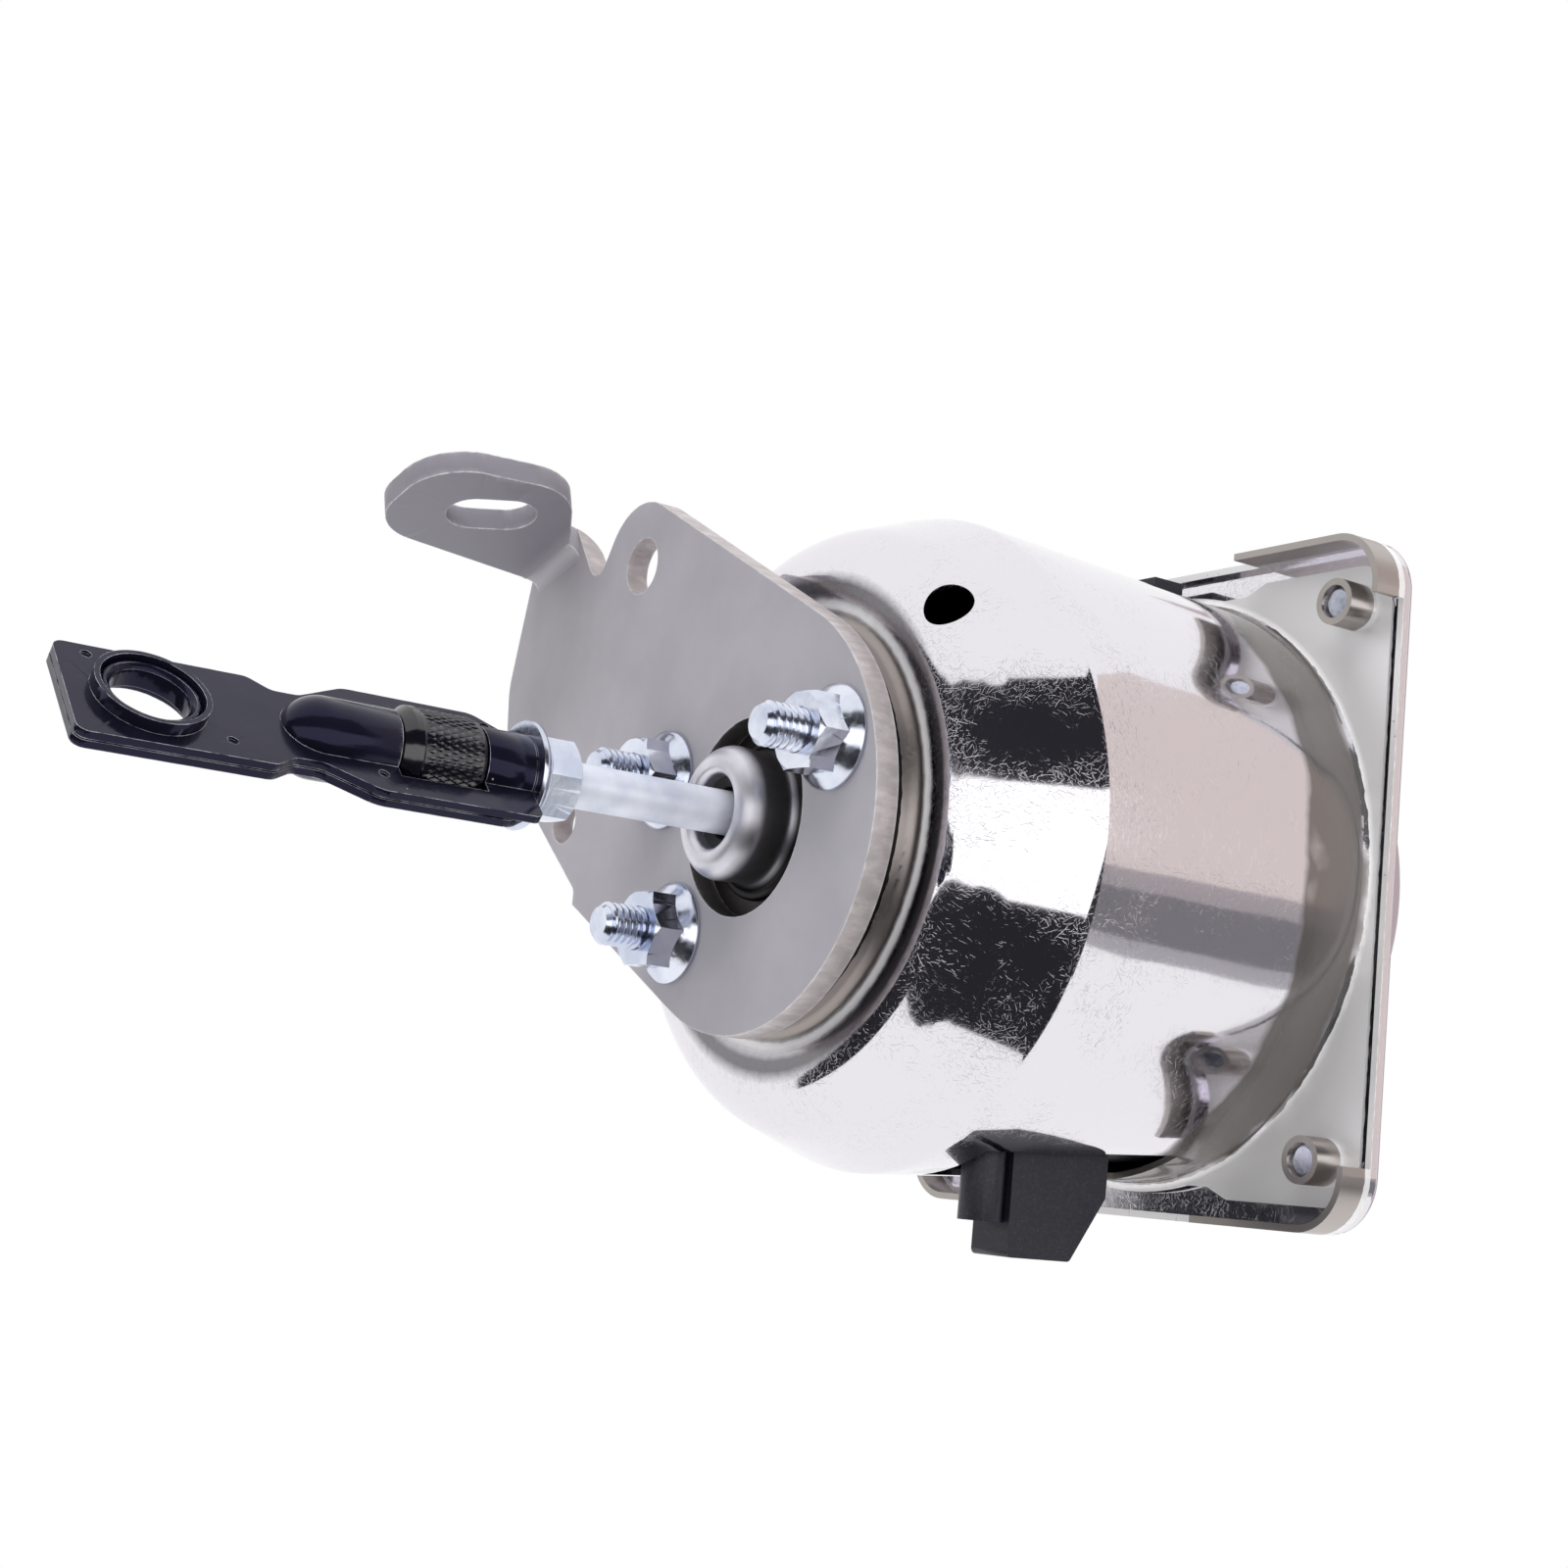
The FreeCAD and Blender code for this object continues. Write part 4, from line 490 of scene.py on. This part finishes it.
# painted shade: the foot down in the bracket's bore turns dark from shadeRadius outwards
out = addNode(tree, "ShaderNodeVectorMath", {0: where, 1: (0, 1, 1)}, operation="MULTIPLY")
out = addNode(tree, "ShaderNodeVectorMath", {0: out}, operation="LENGTH")
paintedShade = addNode(tree, "ShaderNodeMapRange", {
    "Value": out.outputs["Value"], "From Min": satinLook["shadeRadius"] * mm,
    "From Max": (satinLook["shadeRadius"] + satinLook["shadeRun"]) * mm})
tint = addNode(tree, "ShaderNodeMix", {"Factor": paintedShade, 6: tint.outputs[2],
                                       7: linearColour(satinLook["shade"])}, data_type="RGBA")
gloss = addNode(tree, "ShaderNodeMapRange", {"Value": cloud, "To Min": 0.32, "To Max": 0.44})
relief = addNode(tree, "ShaderNodeBump", {
    "Height": grain, "Distance": satinLook["grainHeight"] * mm, "Strength": 1.0})
shader = addNode(tree, "ShaderNodeBsdfPrincipled", {
    "Base Color": tint.outputs[2], "Metallic": 1.0, "Roughness": gloss, "Normal": relief})
closeMaterial(satin, shader)

# ---- greyCoatedPlate: matt warm grey coating; its sheared edges are bare and streaked; painted shade in the bore and on the bent tab ----
plateLook = {
    "face": "#ABA8AF", "faceDark": "#A19EA5", "side": "#ADA5A6", "sideLight": "#C7BFC0",
    # bore and tab are painted shade: the bore's wall and the bent tab are coloured darker
    "bore": "#4F4C4D", "boreShadeRadius": 14.4, "tab": "#838089", "tabStart": -4.5, "tabFull": -8.0,
    "edge": "#E2E0E2", "edgeRadius": 0.35, "rub": 1.3, "cloud": 16.0, "grain": 0.22,
    "grainHeight": 0.012, "streak": 1.5, "squeeze": 0.4, "streakDepth": 0.06, "front": -3.6,
    "coatMetal": 0.12, "sideMetal": 0.25, "roughness": 0.5,
}
plate, tree = newMaterial("greyCoatedPlate")
where = addNode(tree, "ShaderNodeTexCoord").outputs["Object"]
geometry = addNode(tree, "ShaderNodeNewGeometry")
cloud = addNode(tree, "ShaderNodeTexNoise", {
    "Vector": where, "Scale": 1000 / plateLook["cloud"], "Detail": 4.0, "Roughness": 0.55})
grain = addNode(tree, "ShaderNodeTexNoise", {
    "Vector": where, "Scale": 1000 / plateLook["grain"], "Detail": 2.0})
tintShare = addNode(tree, "ShaderNodeMapRange", {
    "Value": cloud, "From Min": 0.35, "From Max": 0.65})
face = addNode(tree, "ShaderNodeMix", {"Factor": tintShare, 6: linearColour(plateLook["face"]),
                                       7: linearColour(plateLook["faceDark"])}, data_type="RGBA")
# shear marks run through the 3.5 mm thickness, so the pattern is squeezed across it
squeezed = addNode(tree, "ShaderNodeVectorMath", {0: where, 1: (plateLook["squeeze"], 1, 1)},
                   operation="MULTIPLY")
streaks = addNode(tree, "ShaderNodeTexNoise", {
    "Vector": squeezed, "Scale": 1000 / plateLook["streak"], "Detail": 3.0, "Roughness": 0.65})
streakShare = addNode(tree, "ShaderNodeMapRange", {
    "Value": streaks, "From Min": 0.42, "From Max": 0.72})
side = addNode(tree, "ShaderNodeMix", {"Factor": streakShare, 6: linearColour(plateLook["side"]),
                                       7: linearColour(plateLook["sideLight"])}, data_type="RGBA")
facing = addNode(tree, "ShaderNodeSeparateXYZ", {0: geometry.outputs["Normal"]})
facing = addNode(tree, "ShaderNodeMath", {0: facing.outputs["X"]}, operation="ABSOLUTE")
sideShare = addNode(tree, "ShaderNodeMapRange", {
    "Value": facing, "From Min": 0.25, "From Max": 0.45, "To Min": 1.0, "To Max": 0.0})
depth = addNode(tree, "ShaderNodeSeparateXYZ", {0: where})
inPlate = addNode(tree, "ShaderNodeMath", {
    0: depth.outputs["X"], 1: plateLook["front"] * mm}, operation="GREATER_THAN")
sideShare = addNode(tree, "ShaderNodeMath", {0: sideShare, 1: inPlate}, operation="MULTIPLY")
# painted shade: the bent tab, turned away from the light, is coloured darker
tabShadeShare = addNode(tree, "ShaderNodeMapRange", {
    "Value": depth.outputs["X"], "From Min": plateLook["tabStart"] * mm,
    "From Max": plateLook["tabFull"] * mm})
face = addNode(tree, "ShaderNodeMix", {"Factor": tabShadeShare, 6: face.outputs[2],
                                       7: linearColour(plateLook["tab"])}, data_type="RGBA")
out = addNode(tree, "ShaderNodeVectorMath", {0: where, 1: (0, 1, 1)}, operation="MULTIPLY")
out = addNode(tree, "ShaderNodeVectorMath", {0: out}, operation="LENGTH")
# painted shade: the bore's wall is coloured dark
inBoreShade = addNode(tree, "ShaderNodeMath", {0: out.outputs["Value"],
                                          1: plateLook["boreShadeRadius"] * mm}, operation="LESS_THAN")
side = addNode(tree, "ShaderNodeMix", {"Factor": inBoreShade, 6: side.outputs[2],
                                       7: linearColour(plateLook["bore"])}, data_type="RGBA")
coat = addNode(tree, "ShaderNodeMix", {"Factor": sideShare, 6: face.outputs[2],
                                       7: side.outputs[2]}, data_type="RGBA")
soft = addNode(tree, "ShaderNodeBevel", {"Radius": plateLook["edgeRadius"] * mm}, samples=6)
edge = addNode(tree, "ShaderNodeVectorMath", {0: soft, 1: geometry.outputs["True Normal"]},
               operation="DOT_PRODUCT")
edge = addNode(tree, "ShaderNodeMapRange", {
    "Value": edge.outputs["Value"], "From Min": 0.99, "From Max": 0.86})
rub = addNode(tree, "ShaderNodeTexNoise", {
    "Vector": where, "Scale": 1000 / plateLook["rub"], "Detail": 4.0})
rub = addNode(tree, "ShaderNodeMapRange", {"Value": rub, "From Min": 0.25, "From Max": 0.65})
edge = addNode(tree, "ShaderNodeMath", {0: edge, 1: rub}, operation="MULTIPLY")
coat = addNode(tree, "ShaderNodeMix", {"Factor": edge, 6: coat.outputs[2],
                                       7: linearColour(plateLook["edge"])}, data_type="RGBA")
bare = addNode(tree, "ShaderNodeMath", {
    0: sideShare, 1: plateLook["sideMetal"], 2: plateLook["coatMetal"]},
    operation="MULTIPLY_ADD")
relief = addNode(tree, "ShaderNodeBump", {
    "Height": grain, "Distance": plateLook["grainHeight"] * mm, "Strength": 0.6})
cuts = addNode(tree, "ShaderNodeMath", {0: streaks, 1: sideShare}, operation="MULTIPLY")
relief = addNode(tree, "ShaderNodeBump", {
    "Height": cuts, "Distance": plateLook["streakDepth"] * mm, "Strength": 0.7,
    "Normal": relief})
shader = addNode(tree, "ShaderNodeBsdfPrincipled", {
    "Base Color": coat.outputs[2], "Metallic": bare, "Roughness": plateLook["roughness"],
    "Normal": relief})
closeMaterial(plate, shader)

# ---- blackDipCoat: wet-looking blue-black dip coat, rubbed through to steel on the edges, which also carry painted highlights ----
dipLook = {
    "body": "#0D0C15", "sheen": "#191829", "wearAndHighlight": "#E2E4EC", "cloud": 7.0, "peel": 1.1,
    "cloudHeight": 0.08, "peelHeight": 0.02, "edgeRadius": 0.1, "rub": 2.4, "wornMetal": 0.4,
    "speck": 2.6, "speckShare": 0.2, "specular": 0.42, "specularTint": "#ABA7DC",
}
dip, tree = newMaterial("blackDipCoat")
where = addNode(tree, "ShaderNodeTexCoord").outputs["Object"]
geometry = addNode(tree, "ShaderNodeNewGeometry")
cloud = addNode(tree, "ShaderNodeTexNoise", {
    "Vector": where, "Scale": 1000 / dipLook["cloud"], "Detail": 4.0})
peel = addNode(tree, "ShaderNodeTexNoise", {
    "Vector": where, "Scale": 1000 / dipLook["peel"], "Detail": 2.0})
coat = addNode(tree, "ShaderNodeMix", {"Factor": cloud, 6: linearColour(dipLook["body"]),
                                       7: linearColour(dipLook["sheen"])}, data_type="RGBA")
# edge wear and painted highlight: thin light lines on the edges stand for bare steel and for rim
# highlights
soft = addNode(tree, "ShaderNodeBevel", {"Radius": dipLook["edgeRadius"] * mm}, samples=6)
edge = addNode(tree, "ShaderNodeVectorMath", {0: soft, 1: geometry.outputs["True Normal"]},
               operation="DOT_PRODUCT")
edge = addNode(tree, "ShaderNodeMapRange", {
    "Value": edge.outputs["Value"], "From Min": 0.966, "From Max": 0.92})
rub = addNode(tree, "ShaderNodeTexNoise", {
    "Vector": where, "Scale": 1000 / dipLook["rub"], "Detail": 5.0, "Roughness": 0.6})
rub = addNode(tree, "ShaderNodeMapRange", {"Value": rub, "From Min": 0.38, "From Max": 0.56})
edge = addNode(tree, "ShaderNodeMath", {0: edge, 1: rub}, operation="MULTIPLY")
specks = addNode(tree, "ShaderNodeTexVoronoi", {"Vector": where, "Scale": 1000 / dipLook["speck"]})
chance = addNode(tree, "ShaderNodeSeparateColor", {0: specks.outputs["Color"]})
chance = addNode(tree, "ShaderNodeMath", {0: chance.outputs[0], 1: dipLook["speckShare"]},
                 operation="LESS_THAN")
specks = addNode(tree, "ShaderNodeMapRange", {
    "Value": specks.outputs["Distance"], "From Min": 0.03, "From Max": 0.06,
    "To Min": 0.8, "To Max": 0.0})
specks = addNode(tree, "ShaderNodeMath", {0: specks, 1: chance}, operation="MULTIPLY")
wearAndHighlight = addNode(tree, "ShaderNodeMath", {0: edge, 1: specks}, operation="MAXIMUM")
coat = addNode(tree, "ShaderNodeMix", {"Factor": wearAndHighlight, 6: coat.outputs[2],
                                       7: linearColour(dipLook["wearAndHighlight"])}, data_type="RGBA")
bare = addNode(tree, "ShaderNodeMath", {0: wearAndHighlight, 1: dipLook["wornMetal"]}, operation="MULTIPLY")
gloss = addNode(tree, "ShaderNodeMapRange", {
    "Value": cloud, "From Min": 0.35, "From Max": 0.7, "To Min": 0.11, "To Max": 0.2})
relief = addNode(tree, "ShaderNodeBump", {
    "Height": peel, "Distance": dipLook["peelHeight"] * mm, "Strength": 0.6})
relief = addNode(tree, "ShaderNodeBump", {
    "Height": cloud, "Distance": dipLook["cloudHeight"] * mm, "Strength": 0.8,
    "Normal": relief})
shader = addNode(tree, "ShaderNodeBsdfPrincipled", {
    "Base Color": coat.outputs[2], "Metallic": bare, "Roughness": gloss, "Normal": relief,
    "Specular IOR Level": dipLook["specular"],
    "Specular Tint": linearColour(dipLook["specularTint"])})
closeMaterial(dip, shader)

# ---- blackDipCoatRubbedKnurl: the same coat, with a painted highlight lightening its diamonds' tips ----
knurlLook = {"tip": "#55565F", "tipStart": 5.84, "tipFull": 5.98, "start": -54.2,
             "specular": 0.9, "specularTint": "#FFFFFF"}
knurlCoat = dip.copy()
knurlCoat.name = "blackDipCoatRubbedKnurl"
tree = knurlCoat.node_tree
shader = [n for n in tree.nodes if n.type == "BSDF_PRINCIPLED"][0]
where = addNode(tree, "ShaderNodeTexCoord").outputs["Object"]
out = addNode(tree, "ShaderNodeVectorMath", {0: where, 1: (0, 1, 1)}, operation="MULTIPLY")
out = addNode(tree, "ShaderNodeVectorMath", {0: out}, operation="LENGTH")
# painted highlight: the diamonds' tips are coloured lighter
tipHighlight = addNode(tree, "ShaderNodeMapRange", {
    "Value": out.outputs["Value"], "From Min": knurlLook["tipStart"] * mm,
    "From Max": knurlLook["tipFull"] * mm})
onKnurl = addNode(tree, "ShaderNodeSeparateXYZ", {0: where})
onKnurl = addNode(tree, "ShaderNodeMath", {
    0: onKnurl.outputs["X"], 1: knurlLook["start"] * mm}, operation="GREATER_THAN")
tipHighlight = addNode(tree, "ShaderNodeMath", {0: tipHighlight, 1: onKnurl}, operation="MULTIPLY")
tint = addNode(tree, "ShaderNodeMix", {"Factor": tipHighlight, 6: linearColour(dipLook["body"]),
                                       7: linearColour(knurlLook["tip"])}, data_type="RGBA")
tree.links.new(tint.outputs[2], shader.inputs["Base Color"])
tree.links.remove(shader.inputs["Metallic"].links[0])
shader.inputs["Specular IOR Level"].default_value = knurlLook["specular"]
shader.inputs["Specular Tint"].default_value = linearColour(knurlLook["specularTint"])

# ---- nitrileRubber: matt black moulding with a dusty bloom ----
rubberLook = {"body": "#0B0B0D", "bloom": "#1D1C20", "size": 2.0, "height": 0.03,
              "roughness": 0.6}
rubber, tree = newMaterial("nitrileRubber")
where = addNode(tree, "ShaderNodeTexCoord").outputs["Object"]
bloom = addNode(tree, "ShaderNodeTexNoise", {
    "Vector": where, "Scale": 1000 / rubberLook["size"], "Detail": 4.0})
tint = addNode(tree, "ShaderNodeMix", {"Factor": bloom, 6: linearColour(rubberLook["body"]),
                                       7: linearColour(rubberLook["bloom"])}, data_type="RGBA")
relief = addNode(tree, "ShaderNodeBump", {
    "Height": bloom, "Distance": rubberLook["height"] * mm, "Strength": 0.5})
shader = addNode(tree, "ShaderNodeBsdfPrincipled", {
    "Base Color": tint.outputs[2], "Roughness": rubberLook["roughness"], "Normal": relief})
closeMaterial(rubber, shader)

# ---- glassFilledNylon: charcoal moulding with short glass fibres just under the skin ----
nylonLook = {"body": "#1C1B26", "fibre": "#30303D", "fibreSize": 0.35, "fibreHeight": 0.012,
             "cloud": 8.0}
nylon, tree = newMaterial("glassFilledNylon")
where = addNode(tree, "ShaderNodeTexCoord").outputs["Object"]
fibres = addNode(tree, "ShaderNodeTexNoise", {
    "Vector": where, "Scale": 1000 / nylonLook["fibreSize"], "Detail": 2.0, "Distortion": 1.2})
fibreShare = addNode(tree, "ShaderNodeMapRange", {
    "Value": fibres, "From Min": 0.5, "From Max": 0.72})
cloud = addNode(tree, "ShaderNodeTexNoise", {
    "Vector": where, "Scale": 1000 / nylonLook["cloud"], "Detail": 3.0})
tint = addNode(tree, "ShaderNodeMix", {"Factor": fibreShare, 6: linearColour(nylonLook["body"]),
                                       7: linearColour(nylonLook["fibre"])}, data_type="RGBA")
gloss = addNode(tree, "ShaderNodeMapRange", {"Value": cloud, "To Min": 0.36, "To Max": 0.52})
relief = addNode(tree, "ShaderNodeBump", {
    "Height": fibres, "Distance": nylonLook["fibreHeight"] * mm, "Strength": 0.6})
shader = addNode(tree, "ShaderNodeBsdfPrincipled", {
    "Base Color": tint.outputs[2], "Roughness": gloss, "Normal": relief})
closeMaterial(nylon, shader)

# ---- hidden pieces: two tones of a soft mottle over each real finish ----
plainFinishes = {
    # acetal gears: creamy, slightly waxy
    "machinedAcetal": {"tones": ("#E6E0D0", "#D6CFBC"), "metallic": 0.0, "roughness": 0.38,
                       "size": 5.0},
    # sintered bushes: brown bronze with open pores
    "sinteredBronze": {"tones": ("#A9803F", "#7A5A2C"), "metallic": 1.0, "roughness": 0.45,
                       "size": 0.5},
    # nickel-plated magnet: dark bright metal
    "platedMagnet": {"tones": ("#8E8E94", "#76767C"), "metallic": 1.0, "roughness": 0.2,
                     "size": 2.0},
    # circuit board: green mask over faint glass weave
    "solderMaskLaminate": {"tones": ("#1E6B3A", "#175A30"), "metallic": 0.0, "roughness": 0.35,
                           "size": 1.2},
    # connector pins: pale tin with a soft bloom
    "tinnedBrass": {"tones": ("#D2D2CE", "#B9B9B2"), "metallic": 1.0, "roughness": 0.28,
                    "size": 0.8},
}
hidden = {}
for finishName, value in plainFinishes.items():
    hidden[finishName], tree = newMaterial(finishName)
    where = addNode(tree, "ShaderNodeTexCoord").outputs["Object"]
    mottle = addNode(tree, "ShaderNodeTexNoise", {
        "Vector": where, "Scale": 1000 / value["size"], "Detail": 3.0})
    tint = addNode(tree, "ShaderNodeMix", {
        "Factor": mottle, 6: linearColour(value["tones"][0]),
        7: linearColour(value["tones"][1])}, data_type="RGBA")
    relief = addNode(tree, "ShaderNodeBump", {"Height": mottle, "Distance": 0.01 * mm,
                                              "Strength": 0.5})
    shader = addNode(tree, "ShaderNodeBsdfPrincipled", {
        "Base Color": tint.outputs[2], "Metallic": value["metallic"],
        "Roughness": value["roughness"], "Normal": relief})
    closeMaterial(hidden[finishName], shader)

finishes = {
    "can_steel": nickel, "bracket_steel": plate, "zinc_steel": zinc, "ring_steel": satin,
    "link_black": dip, "seal_rubber": rubber, "housing_plastic": nylon,
    "gear_plastic": hidden["machinedAcetal"], "bearing_bronze": hidden["sinteredBronze"],
    "magnet": hidden["platedMagnet"], "board_laminate": hidden["solderMaskLaminate"],
    "pin_tin": hidden["tinnedBrass"],
}
slotOf = {row["node"]: row["material_slot"] for row in frame["record"]["subparts"]}
for nodeName, thing in nodes.items():
    setMaterial(thing, finishes[slotOf[nodeName]])
setMaterial(nodes["push_rod"], rodZinc)
print("materials set")


# ---- softened edges: every cut or moulded edge gets a small bevel that catches the light ----
edgeWidths = {
    "heat_shield_can": 0.16, "mounting_bracket": 0.3, "stud_nuts": 0.22,
    "lock_nut": 0.22, "link_upper_sheet": 0.2, "link_lower_sheet": 0.2, "eye_bush": 0.12,
    "actuator_housing": 0.3, "housing_lid": 0.3, "cover_screws": 0.15, "rod_guide_ring": 0.12,
}
edgeLook = {"weld": 0.002, "segments": 2, "angle": 38}
for nodeName, width in edgeWidths.items():
    thing = nodes[nodeName]
    weld = thing.modifiers.new("weld", "WELD")
    weld.merge_threshold = edgeLook["weld"] * mm
    bevel = thing.modifiers.new("bevel", "BEVEL")
    bevel.width = width * mm
    bevel.segments = edgeLook["segments"]
    bevel.limit_method = "ANGLE"
    bevel.angle_limit = math.radians(edgeLook["angle"])
    bevel.harden_normals = True
    bevel.use_clamp_overlap = True
print("edges softened on", len(edgeWidths), "nodes")


# ---- threadedStuds: three M6 studs with a rolled helical thread in front of the plate ----
studSizes = {
    "crest": 2.98, "root": 2.42, "pitch": 1.0, "tip": -15.5, "threadEnd": -3.2, "chamfer": 0.9,
    "shank": 2.96, "headFront": 5.1, "headRadius": 3.8, "headEnd": 6.9, "columns": 48,
    "circle": 21.5, "turns": (155.0, 17.0, -46.0), "runout": 0.8, "tipDrop": 0.25,
    "headChamfer": 0.2, "merge": 0.0005, "smoothAngle": 35,
}
# one pitch: crest flat, flank down, root, flank up, as (share of the pitch, share of the depth)
threadForm = ((0.0, 0.0), (0.14, 0.0), (0.44, 0.94), (0.52, 1.0), (0.60, 0.94), (0.90, 0.0))


def threadRows(value):
    # rows of (place, radius) for each column, following the helix between the two ends
    rows = []
    depth = value["crest"] - value["root"]
    turns = int((value["threadEnd"] - value["tip"]) / value["pitch"]) + 2
    for k in range(-1, turns):
        for share, down in threadForm:
            row = []
            for j in range(value["columns"] + 1):
                x = value["tip"] + value["pitch"] * (k + share + j / value["columns"])
                x = min(max(x, value["tip"]), value["threadEnd"])
                fade = min(max((x - value["tip"]) / value["chamfer"], 0), 1)
                leave = min(max((value["threadEnd"] - x) / value["runout"], 0), 1)
                r = value["crest"] - depth * down * leave
                drop = value["tipDrop"]
                row.append((x, min(r, value["root"] - drop + fade * (depth + drop))))
            rows.append(row)
    return rows


def lathed(name, rows, columns, places):
    # a skin over rows of (place along X, radius), closed at both ends, one copy at each place
    made = bmesh.new()
    for across, up in places:
        grid = []
        for row in rows:
            turns = [2 * math.pi * j / columns for j in range(len(row))]
            grid.append([made.verts.new((x * mm, (across + r * math.cos(turn)) * mm,
                                         (up + r * math.sin(turn)) * mm))
                         for turn, (x, r) in zip(turns, row)])
        for lower, upper in zip(grid, grid[1:]):
            for j in range(columns):
                made.faces.new((lower[j], upper[j], upper[j + 1], lower[j + 1]))
    bmesh.ops.remove_doubles(made, verts=made.verts, dist=studSizes["merge"] * mm)
    bmesh.ops.dissolve_degenerate(made, edges=made.edges, dist=studSizes["merge"] * mm)
    bmesh.ops.recalc_face_normals(made, faces=made.faces)
    mesh = bpy.data.meshes.new(name)
    made.to_mesh(mesh)
    made.free()
    return addObject(name, mesh)


def plainRow(x, r):
    return [(x, r)] * (studSizes["columns"] + 1)


rows = [plainRow(studSizes["tip"], 0.0)] + threadRows(studSizes)
rows += [plainRow(x, r) for x, r in (
    (studSizes["threadEnd"], studSizes["shank"]), (studSizes["headFront"], studSizes["shank"]),
    (studSizes["headFront"], studSizes["headRadius"] - studSizes["headChamfer"]),
    (studSizes["headFront"] + studSizes["headChamfer"], studSizes["headRadius"]),
    (studSizes["headEnd"], studSizes["headRadius"]), (studSizes["headEnd"], 0.0))]
studPlaces = [(studSizes["circle"] * math.cos(math.radians(a)),
               studSizes["circle"] * math.sin(math.radians(a))) for a in studSizes["turns"]]
studs = smoothed(lathed("threadedStuds", rows, studSizes["columns"], studPlaces),
                 studSizes["smoothAngle"])
setMaterial(studs, zinc)
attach(studs, "base")
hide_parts("mounting_studs")
print("threadedStuds:", len(studs.data.polygons), "faces")


# ---- knurledAdjuster: diamond knurl between a plain collar and a chamfer ----
knurlSizes = {
    "front": -56.6, "rear": -45.4, "radius": 5.99, "bore": 3.06, "collarStart": -55.3,
    "knurlStart": -54.1, "knurlEnd": -46.0, "diamonds": 46, "depth": 0.26, "rows": 8,
    "frontChamfer": 1.1, "rearChamfer": 0.7, "runout": 0.25, "edge": 0.05, "angle": 25,
}


def knurlSkin(value):
    columns = value["diamonds"] * 2
    made = bmesh.new()

    def ringAt(x, r):
        return [made.verts.new((x * mm, r * mm * math.cos(2 * math.pi * j / columns),
                                r * mm * math.sin(2 * math.pi * j / columns)))
                for j in range(columns)]

    rings = [ringAt(value["front"], value["bore"]),
             ringAt(value["front"], value["radius"] - value["frontChamfer"]),
             ringAt(value["collarStart"], value["radius"]),
             ringAt(value["knurlStart"] - value["runout"], value["radius"]),
             ringAt(value["knurlStart"], value["radius"] - value["depth"])]
    plainCount = len(rings)
    step = (value["knurlEnd"] - value["knurlStart"]) / value["rows"]
    for i in range(1, value["rows"]):
        ring = []
        for j in range(columns):
            r = value["radius"] - (value["depth"] if (i + j) % 2 == 0 else 0.0)
            angle = 2 * math.pi * j / columns
            ring.append(made.verts.new(((value["knurlStart"] + i * step) * mm,
                                        r * mm * math.cos(angle), r * mm * math.sin(angle))))
        rings.append(ring)
    knurlLast = len(rings)
    rings += [ringAt(value["knurlEnd"], value["radius"] - value["depth"]),
              ringAt(value["rear"], value["radius"] - value["rearChamfer"]),
              ringAt(value["rear"], value["bore"])]
    for i in range(len(rings)):
        lower, upper = rings[i], rings[(i + 1) % len(rings)]
        inKnurl = plainCount - 1 <= i < knurlLast
        for j in range(columns):
            k = (j + 1) % columns
            a, b, c, d = lower[j], upper[j], upper[k], lower[k]
            if not inKnurl:
                made.faces.new((a, b, c, d))
            elif (i - plainCount + 1 + j) % 2 == 0:
                # the groove runs from a to c
                made.faces.new((a, b, c))
                made.faces.new((a, c, d))
            else:
                made.faces.new((a, b, d))
                made.faces.new((b, c, d))
    bmesh.ops.recalc_face_normals(made, faces=made.faces)
    mesh = bpy.data.meshes.new("knurledAdjuster")
    made.to_mesh(mesh)
    made.free()
    return addObject("knurledAdjuster", mesh)


knurl = smoothed(knurlSkin(knurlSizes), knurlSizes["angle"])
bevel = knurl.modifiers.new("bevel", "BEVEL")
bevel.width = knurlSizes["edge"] * mm
bevel.segments = 1
bevel.limit_method = "ANGLE"
bevel.angle_limit = math.radians(knurlSizes["angle"])
setMaterial(knurl, knurlCoat)
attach(knurl, "adjuster")
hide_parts("adjuster_nut")
print("knurledAdjuster:", len(knurl.data.polygons), "faces")


# ---- sizes: triangles in each piece and in all ----
bpy.context.view_layer.update()
depsgraph = bpy.context.evaluated_depsgraph_get()
manyTriangles = 60000
total = 0
for thing in bpy.data.objects:
    if thing.type == "MESH" and not thing.hide_render:
        evaluated = thing.evaluated_get(depsgraph)
        count = sum(len(p.vertices) - 2 for p in evaluated.data.polygons)
        total += count
        if count > manyTriangles:
            print("triangles:", thing.name, count)
print("triangles in all:", total)
